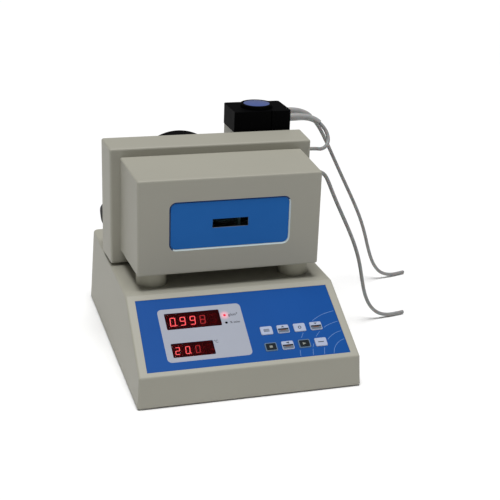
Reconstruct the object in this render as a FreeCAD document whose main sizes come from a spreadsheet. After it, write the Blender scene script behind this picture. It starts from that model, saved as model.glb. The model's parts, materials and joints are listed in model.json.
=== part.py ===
"""A benchtop density meter with a vibrating glass U-tube, a sample pump and a sloping control panel.

Frame: +Z up, X to the user's right, Y away from the user. The origin is on the bench, under the
middle of the base. All sizes are millimetres.
"""
import FreeCAD, Part
import math
import os
import re

import Sketcher
from FreeCAD import Placement, Rotation, Vector

# The driving dimensions. Each becomes one named cell of the sheet.
SIZES = {
    # Base: a moulded ABS shell whose sides and fascia lean in as they rise.
    "base_width": 275.6,
    "base_top_width": 264.4,
    "base_depth": 346.0,
    "base_height": 97.3,
    "base_wall": 3.0,
    "base_corner": 8.0,
    "base_edge": 3.0,
    "fascia_height": 37.8,
    "fascia_lean": 2.2,
    "slope_run": 100.8,
    "pillar_radius": 5.0,
    "pillar_inset": 9.0,
    # Underside: a steel plate on six pillars, and rubber feet.
    "foot_drop": 2.0,
    "foot_radius": 9.0,
    "foot_inset": 30.0,
    "plate_lift": 1.0,
    "plate_sheet": 1.5,
    "plate_gap": 0.4,
    "standoff_radius": 3.0,
    "standoff_height": 8.0,
    # Fasteners: M3 case screws and M4 mounting bolts.
    "screw_radius": 1.5,
    "screw_length": 9.0,
    "screw_head_radius": 2.75,
    "screw_head_height": 1.4,
    "bolt_radius": 2.0,
    "bolt_head_radius": 3.5,
    "bolt_head_height": 2.6,
    "bolt_bite": 8.0,
    "thread_gap": 0.05,
    "hole_gap": 0.2,
    # Rear panel and what is on it.
    "rear_recess": 8.0,
    "rear_open_width": 176.0,
    "rear_open_height": 52.0,
    "rear_open_lift": 22.0,
    "rear_ledge": 8.0,
    "rear_sheet": 2.0,
    "inlet_inset": 14.2,
    "inlet_width": 27.6,
    "inlet_height": 19.8,
    "inlet_depth": 18.0,
    "inlet_lip": 2.4,
    "inlet_lip_depth": 2.5,
    "inlet_wall": 1.6,
    "pin_width": 2.0,
    "pin_height": 4.0,
    "pin_length": 12.0,
    "pin_pitch": 7.0,
    "pin_rise": 3.0,
    "switch_x": -16.0,
    "switch_width": 13.4,
    "switch_height": 19.6,
    "switch_depth": 12.0,
    "switch_lip": 1.6,
    "switch_lip_depth": 2.0,
    "switch_wall": 1.2,
    "rocker_gap": 0.3,
    "rocker_tilt": 10.0,
    "rocker_thick": 2.6,
    "rocker_proud": 2.2,
    "rocker_barrel": 3.0,
    "port_x": 45.0,
    "port_width": 31.0,
    "port_height": 12.5,
    "port_flange": 1.0,
    "port_body_width": 20.0,
    "port_body_height": 10.6,
    "port_body_depth": 9.0,
    "port_shell_width": 16.9,
    "port_shell_height": 8.3,
    "port_shell_depth": 5.8,
    "jack_radius": 2.4,
    "jack_pitch": 25.0,
    # Control panel: a blue printed overlay let into the slope.
    "overlay_start": 6.6,
    "overlay_length": 102.4,
    "overlay_bottom_width": 249.7,
    "overlay_top_width": 243.4,
    "overlay_sheet": 1.0,
    "overlay_recess": 1.3,
    "overlay_gap": 0.2,
    "density_x": -56.8,
    "density_v": 74.9,
    "density_width": 67.3,
    "density_height": 23.2,
    "temperature_x": -64.9,
    "temperature_v": 33.5,
    "temperature_width": 50.9,
    "temperature_height": 19.5,
    "filter_gap": 0.1,
    "filter_sheet": 2.0,
    "filter_corner": 1.2,
    "filter_sink": 0.2,
    "digit_pitch": 12.3,
    "digit_width": 12.1,
    "digit_height": 17.6,
    "digit_depth": 7.0,
    "digit_air": 0.3,
    "lamp_x": -17.2,
    "lamp_v": 66.2,
    "lamp_pitch": 11.0,
    "lamp_radius": 1.5,
    "lamp_proud": 0.25,
    "lamp_gap": 0.1,
    # Keys: eight caps under a membrane, four to a row.
    "key_x": 29.0,
    "key_v": 25.3,
    "key_pitch": 21.1,
    "key_row_pitch": 23.7,
    "key_width": 15.0,
    "key_height": 11.9,
    "key_corner": 1.8,
    "key_rise": 0.4,
    "key_gap": 0.25,
    "key_flange": 0.8,
    "key_flange_sheet": 1.0,
    "key_seat": 0.1,
    "key_stem_radius": 2.4,
    "key_travel": 0.4,
    "key_reserve": 0.1,
    "tact_width": 6.2,
    "tact_height": 4.0,
    "display_board_width": 224.0,
    "display_board_length": 74.0,
    "display_board_start": 13.0,
    "board_sheet": 1.6,
    "boss_radius": 3.2,
    "boss_inset": 4.5,
    # Boards and supply inside the base.
    "main_board_width": 130.0,
    "main_board_depth": 100.0,
    "main_board_x": -35.0,
    "main_board_y": 55.0,
    "chip_width": 14.0,
    "chip_depth": 20.0,
    "chip_height": 3.0,
    "capacitor_radius": 6.0,
    "capacitor_height": 20.0,
    "supply_width": 56.0,
    "supply_depth": 110.0,
    "supply_height": 36.0,
    "supply_inset": 21.8,
    "supply_y": 62.0,
    "terminal_height": 10.0,
    # Measuring head: a drafted front cover on a wider rear shell.
    "head_setback": 112.0,
    "cover_width": 231.0,
    "cover_rear_width": 238.0,
    "cover_height": 120.9,
    "cover_rear_height": 124.3,
    "cover_depth": 91.2,
    "cover_lift": 19.9,
    "cover_edge": 2.5,
    "head_wall": 3.0,
    "frame_width": 263.6,
    "frame_depth": 47.2,
    "frame_height": 152.1,
    "frame_lift": 3.3,
    "frame_flare": 2.2,
    "frame_rise": 1.4,
    "frame_edge": 3.0,
    "frame_lip": 5.0,
    "back_sheet": 2.0,
    "back_margin": 1.2,
    "spacer_radius": 19.0,
    "spacer_x": 92.5,
    "spacer_setback": 29.0,
    "pad_radius": 10.0,
    "pad_x": 100.0,
    "window_width": 149.1,
    "window_height": 58.3,
    "window_lift": 33.0,
    "window_drop": 1.0,
    "window_sheet": 0.8,
    "window_recess": 2.0,
    "window_rim": 1.8,
    "window_corner": 7.0,
    "window_gap": 0.2,
    "slot_width": 45.4,
    "slot_height": 11.4,
    "glass_sheet": 3.0,
    "glass_margin": 6.0,
    # Measuring cell inside the head.
    "cell_width": 120.0,
    "cell_height": 58.0,
    "cell_depth": 60.0,
    "foam": 8.0,
    "foam_gap": 0.3,
    "channel_height": 22.0,
    "channel_depth": 16.0,
    "channel_start": -52.0,
    "tube_radius": 2.2,
    "tube_bore": 1.5,
    "tube_pitch": 9.0,
    "tube_bend_x": -40.0,
    "tube_end": 12.0,
    "clamp_x": 15.5,
    "clamp_width": 3.2,
    "clamp_depth": 14.0,
    "fit_gap": 0.05,
    "coil_radius": 4.0,
    "coil_bore": 1.5,
    "coil_air": 0.5,
    "sensor_radius": 2.0,
    "sensor_length": 36.0,
    "sensor_drop": 19.0,
    "sensor_proud": 5.0,
    "peltier_width": 40.0,
    "peltier_sheet": 4.0,
    "cooling_x": -28.0,
    "cooling_lift": 94.2,
    "sink_width": 100.0,
    "sink_height": 78.0,
    "sink_base": 6.0,
    "fin_sheet": 1.6,
    "fin_pitch": 7.0,
    # Cooling fan on the back of the head.
    "fan_radius": 61.0,
    "fan_wall": 2.6,
    "fan_depth": 26.0,
    "fan_boss_radius": 4.0,
    "fan_tip_gap": 2.2,
    "fan_hub_radius": 19.0,
    "fan_hub_depth": 20.5,
    "fan_pin_radius": 2.0,
    "fan_clear": 1.0,
    "blade_sheet": 1.6,
    "blade_chord": 24.0,
    "blade_pitch": 32.0,
    "guard_wire": 1.3,
    "guard_pitch": 8.4,
    "guard_arm": 3.0,
    # Sample pump: a peristaltic pump head on a motor box behind the measuring head.
    "pump_x": 81.6,
    "pump_gap": 1.0,
    "pump_width": 77.8,
    "pump_depth": 56.6,
    "pump_height": 27.5,
    "pump_edge": 1.0,
    "pump_corner": 3.5,
    "pump_seam": 0.8,
    "pump_clamp_width": 26.6,
    "pump_top": 3.8,
    "motor_box_height": 155.0,
    "motor_box_inset": 1.0,
    "motor_box_wall": 3.0,
    "motor_radius": 18.5,
    "motor_length": 62.0,
    "motor_boss": 6.0,
    "shaft_radius": 2.5,
    "rotor_x": 80.0,
    "rotor_setback": 280.0,
    "track_radius": 17.7,
    "track_gap": 0.3,
    "squeezed_tube": 2.4,
    "squeezed_height": 7.0,
    "squeezed_lift": 12.2,
    "roller_radius": 4.5,
    "roller_length": 16.8,
    "roller_pin": 1.5,
    "roller_air": 0.3,
    "rotor_flange": 2.0,
    "rotor_flange_radius": 13.4,
    "rotor_hub": 5.4,
    "rotor_neck": 7.0,
    "rotor_floor": 1.0,
    "knob_radius": 21.35,
    "knob_height": 4.7,
    "knob_inlay_radius": 17.45,
    "knob_inlay_sink": 1.6,
    "knob_inlay_dome": 1.4,
    # Hose fittings, hoses and the head's cable.
    "hose_radius": 2.5,
    "cell_hose_radius": 1.6,
    "hose_bore": 1.5,
    "collar_radius": 5.2,
    "collar_length": 7.5,
    "sleeve_tip": 3.9,
    "port_radius": 4.2,
    "port_length": 4.0,
    "port_shank": 3.0,
    "port_nipple": 6.0,
    "sample_port_setback": 48.0,
    "sample_port_lift": 105.8,
    "loop_port_setback": 24.0,
    "loop_port_lift": 132.8,
    "cable_radius": 2.5,
    "gland_radius": 6.0,
    "gland_shank": 4.5,
    "gland_length": 9.0,
    "gland_tail": 6.0,
    "gland_x": -122.0,
    "base_gland_x": -117.0,
    "gland_lift": 60.7,
    "gland_setback": 291.0,
    # How far a cutting tool runs past what it cuts.
    "overrun": 4.0,
}

# Counts and angles that are not lengths.
KEYS_PER_ROW = 4
KEY_ROWS = 2
DENSITY_DIGITS = 5
TEMPERATURE_DIGITS = 4
ROLLERS = 3
BLADES = 7
GUARD_RINGS = 4
FINS = 14

# Places that several pieces share, written in the sheet's names.
BOTTOM = "foot_drop"
TOP = "(foot_drop + base_height)"
FRONT = "(-base_depth / 2)"
TOP_LEAN = "(fascia_lean * base_height / fascia_height)"
BACK = "(base_depth / 2)"
SLOPE_ANGLE = "atan2(base_height - fascia_height; slope_run)"
PLATE_BOTTOM = "(foot_drop + plate_lift)"
PLATE_TOP = "(foot_drop + plate_lift + plate_sheet)"
BOARD_BOTTOM = "(foot_drop + plate_lift + plate_sheet + standoff_height)"
PILLAR_X = "(base_width / 2 - base_wall - pillar_inset)"
PILLAR_Y = "(base_depth / 2 - base_wall - pillar_inset)"
REAR_FACE = "(base_depth / 2 - rear_recess)"
REAR_MIDDLE = "(foot_drop + rear_open_lift + rear_open_height / 2)"
INLET_X = "(inlet_inset + inlet_width / 2 - rear_open_width / 2)"
SUPPLY_X = "(base_width / 2 - supply_inset - supply_width / 2)"
OVERLAY_TOP = "(overlay_sheet - overlay_recess)"
FILTER_BOTTOM = "(overlay_sheet - overlay_recess - filter_sink - filter_sheet)"
DISPLAY_BOARD_TOP = f"({FILTER_BOTTOM} - digit_air - digit_depth)"
FLANGE_TOP = "(-overlay_recess - key_seat)"
STEM_BOTTOM = f"({DISPLAY_BOARD_TOP} + tact_height + key_travel + key_reserve)"
COVER_FRONT = "(head_setback - base_depth / 2)"
JUNCTION = "(head_setback + cover_depth - base_depth / 2)"
HEAD_BACK = "(head_setback + cover_depth + frame_depth - base_depth / 2)"
FAN_FACE = "(head_setback + cover_depth + frame_depth + back_sheet - base_depth / 2)"
COVER_BOTTOM = "(foot_drop + base_height + cover_lift)"
FRAME_BOTTOM = "(foot_drop + base_height + frame_lift)"
WINDOW_MIDDLE = "(foot_drop + base_height + cover_lift + window_lift + window_height / 2)"
COOLING_MIDDLE = "(foot_drop + base_height + cooling_lift)"
SENSOR_Y = "(head_setback + head_wall + glass_sheet + foam + foam_gap + cell_depth / 2 - base_depth / 2)"
SENSOR_Z = "(foot_drop + base_height + cover_lift + window_lift + window_height / 2 - sensor_drop)"
SPACER_Y = "(head_setback + spacer_setback - base_depth / 2)"
PAD_Y = "(head_setback + cover_depth + frame_depth / 2 - base_depth / 2)"
CELL_FRONT = "(head_setback + head_wall + glass_sheet + foam + foam_gap - base_depth / 2)"
CELL_BACK = f"({CELL_FRONT} + cell_depth)"
TUBE_Y = f"({CELL_FRONT} + channel_depth / 2)"
PUMP_Y = f"({FAN_FACE} + pump_gap + pump_depth / 2)"
PUMP_BOTTOM = "(foot_drop + base_height + motor_box_height)"
PUMP_TOP = "(foot_drop + base_height + motor_box_height + pump_height)"
PUMP_RIGHT = "(pump_x + pump_width / 2)"
ROTOR_Y = "(rotor_setback - base_depth / 2)"
ROTOR_BOTTOM = "(foot_drop + base_height + motor_box_height + rotor_floor)"
ROLLER_BOTTOM = f"({ROTOR_BOTTOM} + rotor_flange + roller_air)"
ROTOR_TOP = f"({ROLLER_BOTTOM} + roller_length + roller_air + rotor_flange)"
ROLLER_ORBIT = "(track_radius - squeezed_tube - roller_air - roller_radius)"
SQUEEZED_BOTTOM = "(foot_drop + base_height + motor_box_height + squeezed_lift)"
TUBE_LINE = "(track_radius - squeezed_tube / 2)"
HOSE_LINE = f"({SQUEEZED_BOTTOM} + squeezed_height / 2)"
SAMPLE_PORT_Y = "(head_setback + sample_port_setback - base_depth / 2)"
SAMPLE_PORT_Z = "(foot_drop + base_height + cover_lift + sample_port_lift)"
SAMPLE_PORT_X = ("(cover_width / 2 + hole_gap + (cover_rear_width - cover_width) / 2"
                 " * sample_port_setback / cover_depth)")
LOOP_PORT_X = "(frame_width / 2 + hole_gap + frame_flare * loop_port_setback / frame_depth)"
LOOP_PORT_Y = "(head_setback + cover_depth + loop_port_setback - base_depth / 2)"
LOOP_PORT_Z = "(foot_drop + base_height + frame_lift + loop_port_lift)"
GLAND_Y = "(gland_setback - base_depth / 2)"
GLAND_Z = "(foot_drop + base_height + gland_lift)"
FAN_BOSS_ORBIT = "(fan_radius - fan_boss_radius)"
FAN_TIP = "(fan_radius - 2 * fan_boss_radius - fan_tip_gap)"

# The share of the shorter run at a corner that its arc takes up, and how many arcs a sleeve spans.
ARC_SHARE = 0.45
SLEEVE_ARCS = 3

# The routes below are drawn for a base 346 mm deep whose top is at 99.3 mm: what it has moved since.
MOVED_Y = "(346 / 2 - base_depth / 2)"
MOVED_Z = "(foot_drop + base_height - 99.3)"

# Routes of the free hoses and of the cable, point by point in millimetres.
SAMPLE_HOSE = [
    (121.55, -13.0, 225.0), (127.55, -13.0, 225.0), (133.35, -13.0, 222.9), (138.1, -12.8, 218.9),
    (143.1, -12.2, 210.0), (150.4, -10.0, 194.6), (160.4, -7.0, 175.0), (172.4, -4.0, 152.6),
    (184.0, -1.2, 130.2), (194.0, 1.2, 108.0), (201.4, 3.0, 86.0), (206.6, 4.2, 64.0),
    (211.8, 5.0, 42.6), (220.2, 5.8, 23.4), (232.6, 6.8, 9.8), (247.4, 8.2, 3.8),
    (262.4, 10.6, 2.9), (277.0, 14.2, 3.0),
]
WASTE_HOSE = [
    (128.0, 123.5, 270.0), (136.6, 123.5, 270.0), (146.5, 123.8, 268.8), (157.5, 124.6, 265.0),
    (168.4, 126.2, 257.0), (179.6, 128.2, 243.6), (192.0, 131.0, 222.6), (205.2, 133.6, 197.8),
    (218.4, 136.0, 173.2), (231.6, 138.0, 149.0), (244.4, 139.4, 125.0), (256.2, 140.4, 100.6),
    (265.6, 141.0, 75.6), (273.0, 141.4, 50.4), (281.6, 141.8, 27.6), (293.8, 142.6, 11.0),
    (309.0, 144.4, 4.2), (324.6, 147.6, 2.9), (339.0, 152.4, 3.0),
]
LOOP_HOSE = [
    (128.0, 90.5, 270.0), (137.6, 90.5, 270.0), (148.2, 89.6, 269.0), (158.2, 87.0, 265.4),
    (166.6, 82.4, 258.8), (171.4, 75.6, 250.0), (171.2, 68.2, 241.0), (165.4, 61.6, 235.0),
    (156.6, 56.8, 233.2), (147.6, 54.2, 235.4), (137.13, 54.2, 235.4),
]
HEAD_CABLE = [
    (-122.0, 70.0, 160.0), (-122.0, 95.0, 160.0), (-126.0, 107.0, 157.8), (-129.2, 114.5, 150.0),
    (-128.0, 118.2, 139.5), (-126.6, 118.0, 129.0), (-117.0, 118.0, 117.0), (-117.0, 118.0, 84.0),
]
# The two short hoses inside the head, from the glass tube's ends to the fittings in its right side.
INNER_SAMPLE = [
    (72.0, -38.7, 185.85), (79.5, -38.7, 185.85), (86.0, -36.6, 189.0), (89.7, -33.1, 194.4),
    (89.2, -28.0, 201.6), (90.4, -23.8, 209.2), (89.9, -18.6, 216.4), (93.6, -15.1, 221.9),
    (101.0, -13.0, 225.0), (108.54, -13.0, 225.0),
]
INNER_LOOP = [
    (72.0, -38.7, 176.85), (81.0, -38.7, 176.85), (88.8, -34.9, 179.2), (93.3, -28.3, 183.4),
    (94.4, -15.4, 190.0), (95.4, 0.8, 201.8), (98.0, 17.6, 211.2), (98.6, 32.0, 222.2),
    (100.6, 43.8, 228.8), (106.1, 50.4, 233.0), (115.0, 54.2, 235.4), (124.12, 54.2, 235.4),
]

DOC = FreeCAD.newDocument("DensityMeter")
SHEET = DOC.addObject("Spreadsheet::Sheet", "Sizes")
NODES = []


def fill_sheet():
    """One row for each driving dimension: its name, and its value with that name as alias."""
    for row, (name, value) in enumerate(SIZES.items(), 1):
        SHEET.set(f"A{row}", name)
        SHEET.set(f"B{row}", str(value))
        SHEET.setAlias(f"B{row}", name)
    DOC.recompute()


def bound(text):
    """An expression whose names are looked up in the sheet."""
    return re.sub(r"[a-z][a-z_]+", lambda word: "Sizes." + word[0] if word[0] in SIZES else word[0], text)


def worth(text):
    """The present value of an expression, for the few shapes that are made without one."""
    return SHEET.evalExpression(bound(text))


def tie(thing, ties):
    """Binds properties of a feature to expressions."""
    for path, text in ties.items():
        thing.setExpression(path, bound(text))
    return thing


def place(thing, x="0", y="0", z="0", axis=None, angle="0"):
    """Puts a feature somewhere, turned about an axis if one is given."""
    ties = {"Placement.Base.x": x, "Placement.Base.y": y, "Placement.Base.z": z}
    if axis:
        thing.Placement = Placement(Vector(), Rotation(Vector(*axis), 1))
        ties["Placement.Rotation.Angle"] = angle
    return tie(thing, ties)


def on_slope(thing):
    """Moves a piece made flat onto the base's slope: x across, y up the slope, z out of it."""
    return place(thing, y=f"{FRONT} + fascia_lean", z=f"{BOTTOM} + fascia_height",
                 axis=(1, 0, 0), angle=SLOPE_ANGLE)


def block(name, wide, deep, tall, x="0", y="0", z="0"):
    """A box centred on x and y, standing on z."""
    box = DOC.addObject("Part::Box", name)
    tie(box, {"Length": wide, "Width": deep, "Height": tall})
    return place(box, f"{x} - ({wide}) / 2", f"{y} - ({deep}) / 2", z)


def rod(name, radius, length, x="0", y="0", z="0", along="z"):
    """A cylinder whose first end is centred on x, y, z."""
    cylinder = DOC.addObject("Part::Cylinder", name)
    tie(cylinder, {"Radius": radius, "Height": length})
    axis, angle = {"x": ((0, 1, 0), "90"), "y": ((1, 0, 0), "-90"), "z": (None, "0")}[along]
    return place(cylinder, x, y, z, axis, angle)


def join(name, things):
    """Several shapes made one."""
    if len(things) == 1:
        return things[0]
    fuse = DOC.addObject("Part::MultiFuse", name)
    fuse.Shapes = things
    return fuse


def group(name, things):
    """Several separate solids kept in one piece of the model."""
    compound = DOC.addObject("Part::Compound", name)
    compound.Links = things
    return compound


def cut(name, base, tools):
    """A shape with tools taken out of it."""
    result = DOC.addObject("Part::Cut", name)
    result.Base = base
    result.Tool = join(name + "Tools", tools)
    return result


def common(name, first, second):
    """What two shapes share."""
    result = DOC.addObject("Part::Common", name)
    result.Base = first
    result.Tool = second
    return result


def edges(feature, test):
    """The names of a feature's edges that pass a test on their bounding box."""
    DOC.recompute()
    return [f"Edge{number}" for number, edge in enumerate(feature.Shape.Edges, 1)
            if test(edge.BoundBox)]


def rounded(body, feature, name, radius, test):
    """Fillets the edges of a body's feature that pass a test."""
    fillet = body.newObject("PartDesign::Fillet", name)
    fillet.Base = (feature, edges(feature, test))
    tie(fillet, {"Radius": radius})
    body.Tip = fillet
    return fillet


def soft_block(name, wide, deep, tall, radius, x="0", y="0", z="0", test=None):
    """A box as block() makes it, with rounded edges: the upright ones unless a test is given."""
    body = DOC.addObject("PartDesign::Body", name)
    box = body.newObject("PartDesign::AdditiveBox", name + "Box")
    tie(box, {"Length": wide, "Width": deep, "Height": tall})
    place(box, f"{x} - ({wide}) / 2", f"{y} - ({deep}) / 2", z)
    rounded(body, box, name + "Round", radius,
            test or (lambda edge: edge.XLength + edge.YLength < edge.ZLength))
    return body


def drafted(name, ties, base_y, base_z):
    """A body that starts as a wedge: a rectangle in X and Z that changes size along Y."""
    body = DOC.addObject("PartDesign::Body", name)
    wedge = body.newObject("PartDesign::AdditiveWedge", name + "Wedge")
    tie(wedge, ties)
    place(wedge, y=base_y, z=base_z)
    return body, wedge


def node(name, thing):
    """Marks a finished piece. Its label is the name of its file."""
    thing.Label = name
    NODES.append(thing)
    return thing


def case_screw(name, x, y, z, along="z", sign=1):
    """An M3 screw: its head's underside is at the given place and its shank runs along an axis."""
    start = {"x": x, "y": y, "z": z}
    head, shank = dict(start), dict(start)
    if sign > 0:
        head[along] = f"{start[along]} - screw_head_height"
    else:
        shank[along] = f"{start[along]} - screw_length"
    return join(name, [
        rod(name + "Head", "screw_head_radius", "screw_head_height", head["x"], head["y"], head["z"], along),
        rod(name + "Shank", "screw_radius", "screw_length", shank["x"], shank["y"], shank["z"], along),
    ])


def pilot(name, x, y, z, along="z", sign=1):
    """The hole that a case screw bites in, from where its head's underside is."""
    start = {"x": x, "y": y, "z": z}
    if sign < 0:
        start[along] = f"{start[along]} - screw_length - hole_gap"
    return rod(name, "screw_radius + thread_gap", "screw_length + hole_gap",
               start["x"], start["y"], start["z"], along)


# Where the six base screws, the rear panel's four and the head's back plate's four go.
BASE_SCREWS = [(f"{side} * {PILLAR_X}", f"{end} * {PILLAR_Y}") for side in (-1, 1) for end in (-1, 0, 1)]
REAR_SCREWS = [(f"{side} * (rear_open_width + rear_ledge) / 2",
                f"{REAR_MIDDLE} + {end} * (rear_open_height + rear_ledge) / 2")
               for side in (-1, 1) for end in (-1, 1)]
BACK_SCREWS = [(f"{side} * (frame_width / 2 - head_wall - boss_inset)",
                f"{FRAME_BOTTOM} + frame_height / 2 + {end} * (frame_height / 2 - head_wall - boss_inset)")
               for side in (-1, 1) for end in (-1, 1)]
SPACERS = [(f"{side} * spacer_x", SPACER_Y) for side in (-1, 1)]
PADS = [(f"{side} * pad_x", PAD_Y) for side in (-1, 1)]
MOTOR_BOLTS = [(f"pump_x + {side} * (pump_width / 2 - 4 * bolt_radius)",
                f"{PUMP_Y} + {side} * (pump_depth / 2 - 4 * bolt_radius)") for side in (-1, 1)]
FAN_BOLTS = [(f"cooling_x + {side} * {FAN_BOSS_ORBIT} * cos(45)",
              f"{COOLING_MIDDLE} + {end} * {FAN_BOSS_ORBIT} * sin(45)")
             for side in (-1, 1) for end in (-1, 1)]
MAIN_POSTS = [(f"main_board_x + {side} * (main_board_width / 2 - boss_inset)",
               f"main_board_y + {end} * (main_board_depth / 2 - boss_inset)")
              for side in (-1, 1) for end in (-1, 1)]
ROLLER_PLACES = [(f"rotor_x + {ROLLER_ORBIT} * cos({number} * 360 / {ROLLERS})",
                  f"{ROTOR_Y} + {ROLLER_ORBIT} * sin({number} * 360 / {ROLLERS})")
                 for number in range(ROLLERS)]
KEY_PLACES = [(f"(key_x + {column} * key_pitch)", f"(key_v + {row} * key_row_pitch)")
              for row in reversed(range(KEY_ROWS)) for column in range(KEYS_PER_ROW)]
DISPLAYS = [("density", DENSITY_DIGITS), ("temperature", TEMPERATURE_DIGITS)]
BOARD_CORNERS = [(f"{side} * (display_board_width / 2 - boss_inset)",
                  f"display_board_start + display_board_length / 2"
                  f" + {end} * (display_board_length / 2 - boss_inset)")
                 for side in (-1, 1) for end in (-1, 1)]
LAMPS = [("lamp_x", f"(lamp_v + {step} * lamp_pitch)") for step in (0, 1)]


def outline_plate(name, gap, thick, start):
    """The control panel's outline as a flat plate, as wide as the base's taper lets it be."""
    body = DOC.addObject("PartDesign::Body", name)
    sketch = body.newObject("Sketcher::SketchObject", name + "Outline")
    plane = next(item for item in body.Origin.OriginFeatures if item.Role == "XY_Plane")
    sketch.AttachmentSupport = [(plane, "")]
    sketch.MapMode = "FlatFace"
    low, high = f"overlay_start - {gap}", f"overlay_start + overlay_length + {gap}"
    outline = [(f"-overlay_bottom_width / 2 - {gap}", low), (f"overlay_bottom_width / 2 + {gap}", low),
               (f"overlay_top_width / 2 + {gap}", high), (f"-overlay_top_width / 2 - {gap}", high)]
    points = [Vector(worth(x), worth(y)) for x, y in outline]
    for first, last in zip(points, points[1:] + points[:1]):
        sketch.addGeometry(Part.LineSegment(first, last))
    for line, corner in enumerate(outline):
        before = line - 1 if line else len(outline) - 1
        sketch.addConstraint(Sketcher.Constraint("Coincident", before, 2, line, 1))
        for kind, text in zip(("DistanceX", "DistanceY"), corner):
            number = sketch.addConstraint(Sketcher.Constraint(kind, -1, 1, line, 1, worth(text)))
            tie(sketch, {f"Constraints[{number}]": text})
    pad = body.newObject("PartDesign::Pad", name + "Pad")
    pad.Profile = sketch
    tie(pad, {"Length": thick})
    body.Tip = pad
    return place(body, z=start)


def base_wedge(name, wall):
    """The base's drafted form as a body, smaller than the real one by a wall; its rear is upright."""
    body = DOC.addObject("PartDesign::Body", name)
    wedge = body.newObject("PartDesign::AdditiveWedge", name + "Wedge")
    tie(wedge, {"Xmin": f"{wall} - base_width / 2", "Xmax": f"base_width / 2 - {wall}",
                "X2min": f"{wall} - base_top_width / 2", "X2max": f"base_top_width / 2 - {wall}",
                "Ymin": "0", "Ymax": f"base_height - {wall}",
                "Zmin": f"{wall} - base_depth / 2", "Zmax": f"base_depth / 2 - {wall}",
                "Z2min": f"{wall} - base_depth / 2", "Z2max": f"base_depth / 2 - {wall} - {TOP_LEAN}"})
    place(wedge, z=BOTTOM, axis=(1, 0, 0), angle="90")
    return body, wedge


def rear_corners(body, feature, name, radius):
    """Rounds the two upright rear corners of the base's form."""
    rear = worth(f"{BACK} - 2 * base_wall")
    low = worth("base_height / 2")
    return rounded(body, feature, name, radius, lambda edge: edge.YMin > rear and edge.ZLength > low)


def base_outside():
    """The base's outer form, with its rear corners and its edges rounded."""
    body, wedge = base_wedge("BaseOutside", "0")
    front = body.newObject("PartDesign::SubtractiveBox", "BaseSlope")
    tie(front, {"Length": "base_width + 2 * overrun", "Width": "base_depth + 2 * overrun",
                "Height": "base_height"})
    # The cutter's own corner is set back down the slope from the fascia's top edge.
    place(front, "-base_width / 2 - overrun",
          f"{FRONT} + fascia_lean - overrun * cos({SLOPE_ANGLE})",
          f"{BOTTOM} + fascia_height - overrun * sin({SLOPE_ANGLE})", (1, 0, 0), SLOPE_ANGLE)
    low = worth(f"{BOTTOM} + fascia_height / 4")
    near = worth(f"{FRONT} + fascia_lean + base_wall")
    corners = rear_corners(body, front, "BaseCorners", "base_corner")
    rounded(body, corners, "BaseEdges", "base_edge",
            lambda edge: edge.ZMin > low or edge.YMax < near and edge.ZLength > low)
    return body


def base_cavity():
    """What is hollow in the base: its inside without the pillars, bosses and rear tunnel."""
    inside, wedge = base_wedge("BaseInside", "base_wall")
    rear_corners(inside, wedge, "InnerCorners", "base_corner - base_wall")
    roof = on_slope(group("Roof", [block("RoofBlock", "base_width", "2 * base_depth", "base_height",
                                         z="-base_wall")]))
    pillars = [rod("Pillar", "pillar_radius", "base_height", x, y, PLATE_TOP) for x, y in BASE_SCREWS]
    tunnel = block("Tunnel", "rear_open_width + 2 * rear_ledge", "rear_recess",
                   "rear_open_height + 2 * rear_ledge", y=f"{REAR_FACE} + rear_recess / 2",
                   z=f"{REAR_MIDDLE} - rear_open_height / 2 - rear_ledge")
    bosses = on_slope(group("Bosses", [rod("Boss", "boss_radius", f"-{DISPLAY_BOARD_TOP}", x, y,
                                           DISPLAY_BOARD_TOP) for x, y in BOARD_CORNERS]))
    return cut("BaseCavity", inside, [roof, *pillars, tunnel, bosses])


def slope_openings(name, gap, corner, thick, start, lamp_gap):
    """Cutters for the two display windows and the two lamps, in the slope's own frame."""
    cutters = [soft_block(name, f"{display}_width + 2 * {gap}", f"{display}_height + 2 * {gap}", thick,
                          corner, f"{display}_x", f"{display}_v", start) for display, _ in DISPLAYS]
    cutters += [rod(name + "Lamp", f"lamp_radius + {lamp_gap}", thick, x, y, start) for x, y in LAMPS]
    return cutters


def base_shell():
    """The moulded base: drafted sides, a sloping front, six pillars and a tunnel at the rear."""
    opening = block("RearOpening", "rear_open_width", "2 * rear_recess", "rear_open_height",
                    y=BACK, z=f"{REAR_MIDDLE} - rear_open_height / 2")
    opening_in = block("RearOpeningIn", "rear_open_width", "rear_recess", "rear_open_height",
                       y=f"{REAR_FACE} + rear_recess / 2", z=f"{REAR_MIDDLE} - rear_open_height / 2")
    recess = on_slope(group("PanelRecess", [outline_plate("Recess", "overlay_gap", "base_wall",
                                                          "-overlay_recess")]))
    deep = "base_wall + 2 * overrun"
    start = "-base_wall - overrun"
    wells = [block("KeyWell", "key_width + 2 * key_flange + 2 * key_gap",
                   "key_height + 2 * key_flange + 2 * key_gap", deep, x, y, start)
             for x, y in KEY_PLACES]
    through = on_slope(group("SlopeHoles", [
        *slope_openings("Window", "filter_gap", "filter_corner", deep, start, "lamp_gap"), *wells]))
    screws = [pilot("BasePilot", x, y, PLATE_BOTTOM) for x, y in BASE_SCREWS]
    screws += [pilot("RearPilot", x, f"{REAR_FACE} - rear_sheet", z, "y") for x, z in REAR_SCREWS]
    bolts = [rod("BoltHole", "bolt_radius + hole_gap", deep, x, y, f"{TOP} - base_wall - overrun")
             for x, y in SPACERS + PADS + MOTOR_BOLTS]
    gland = rod("GlandHole", "gland_shank + hole_gap", deep, "base_gland_x", GLAND_Y,
                f"{TOP} - base_wall - overrun")
    return cut("BaseShell", base_outside(), [base_cavity(), opening, opening_in, recess, through,
                                             *screws, *bolts, gland])


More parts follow.
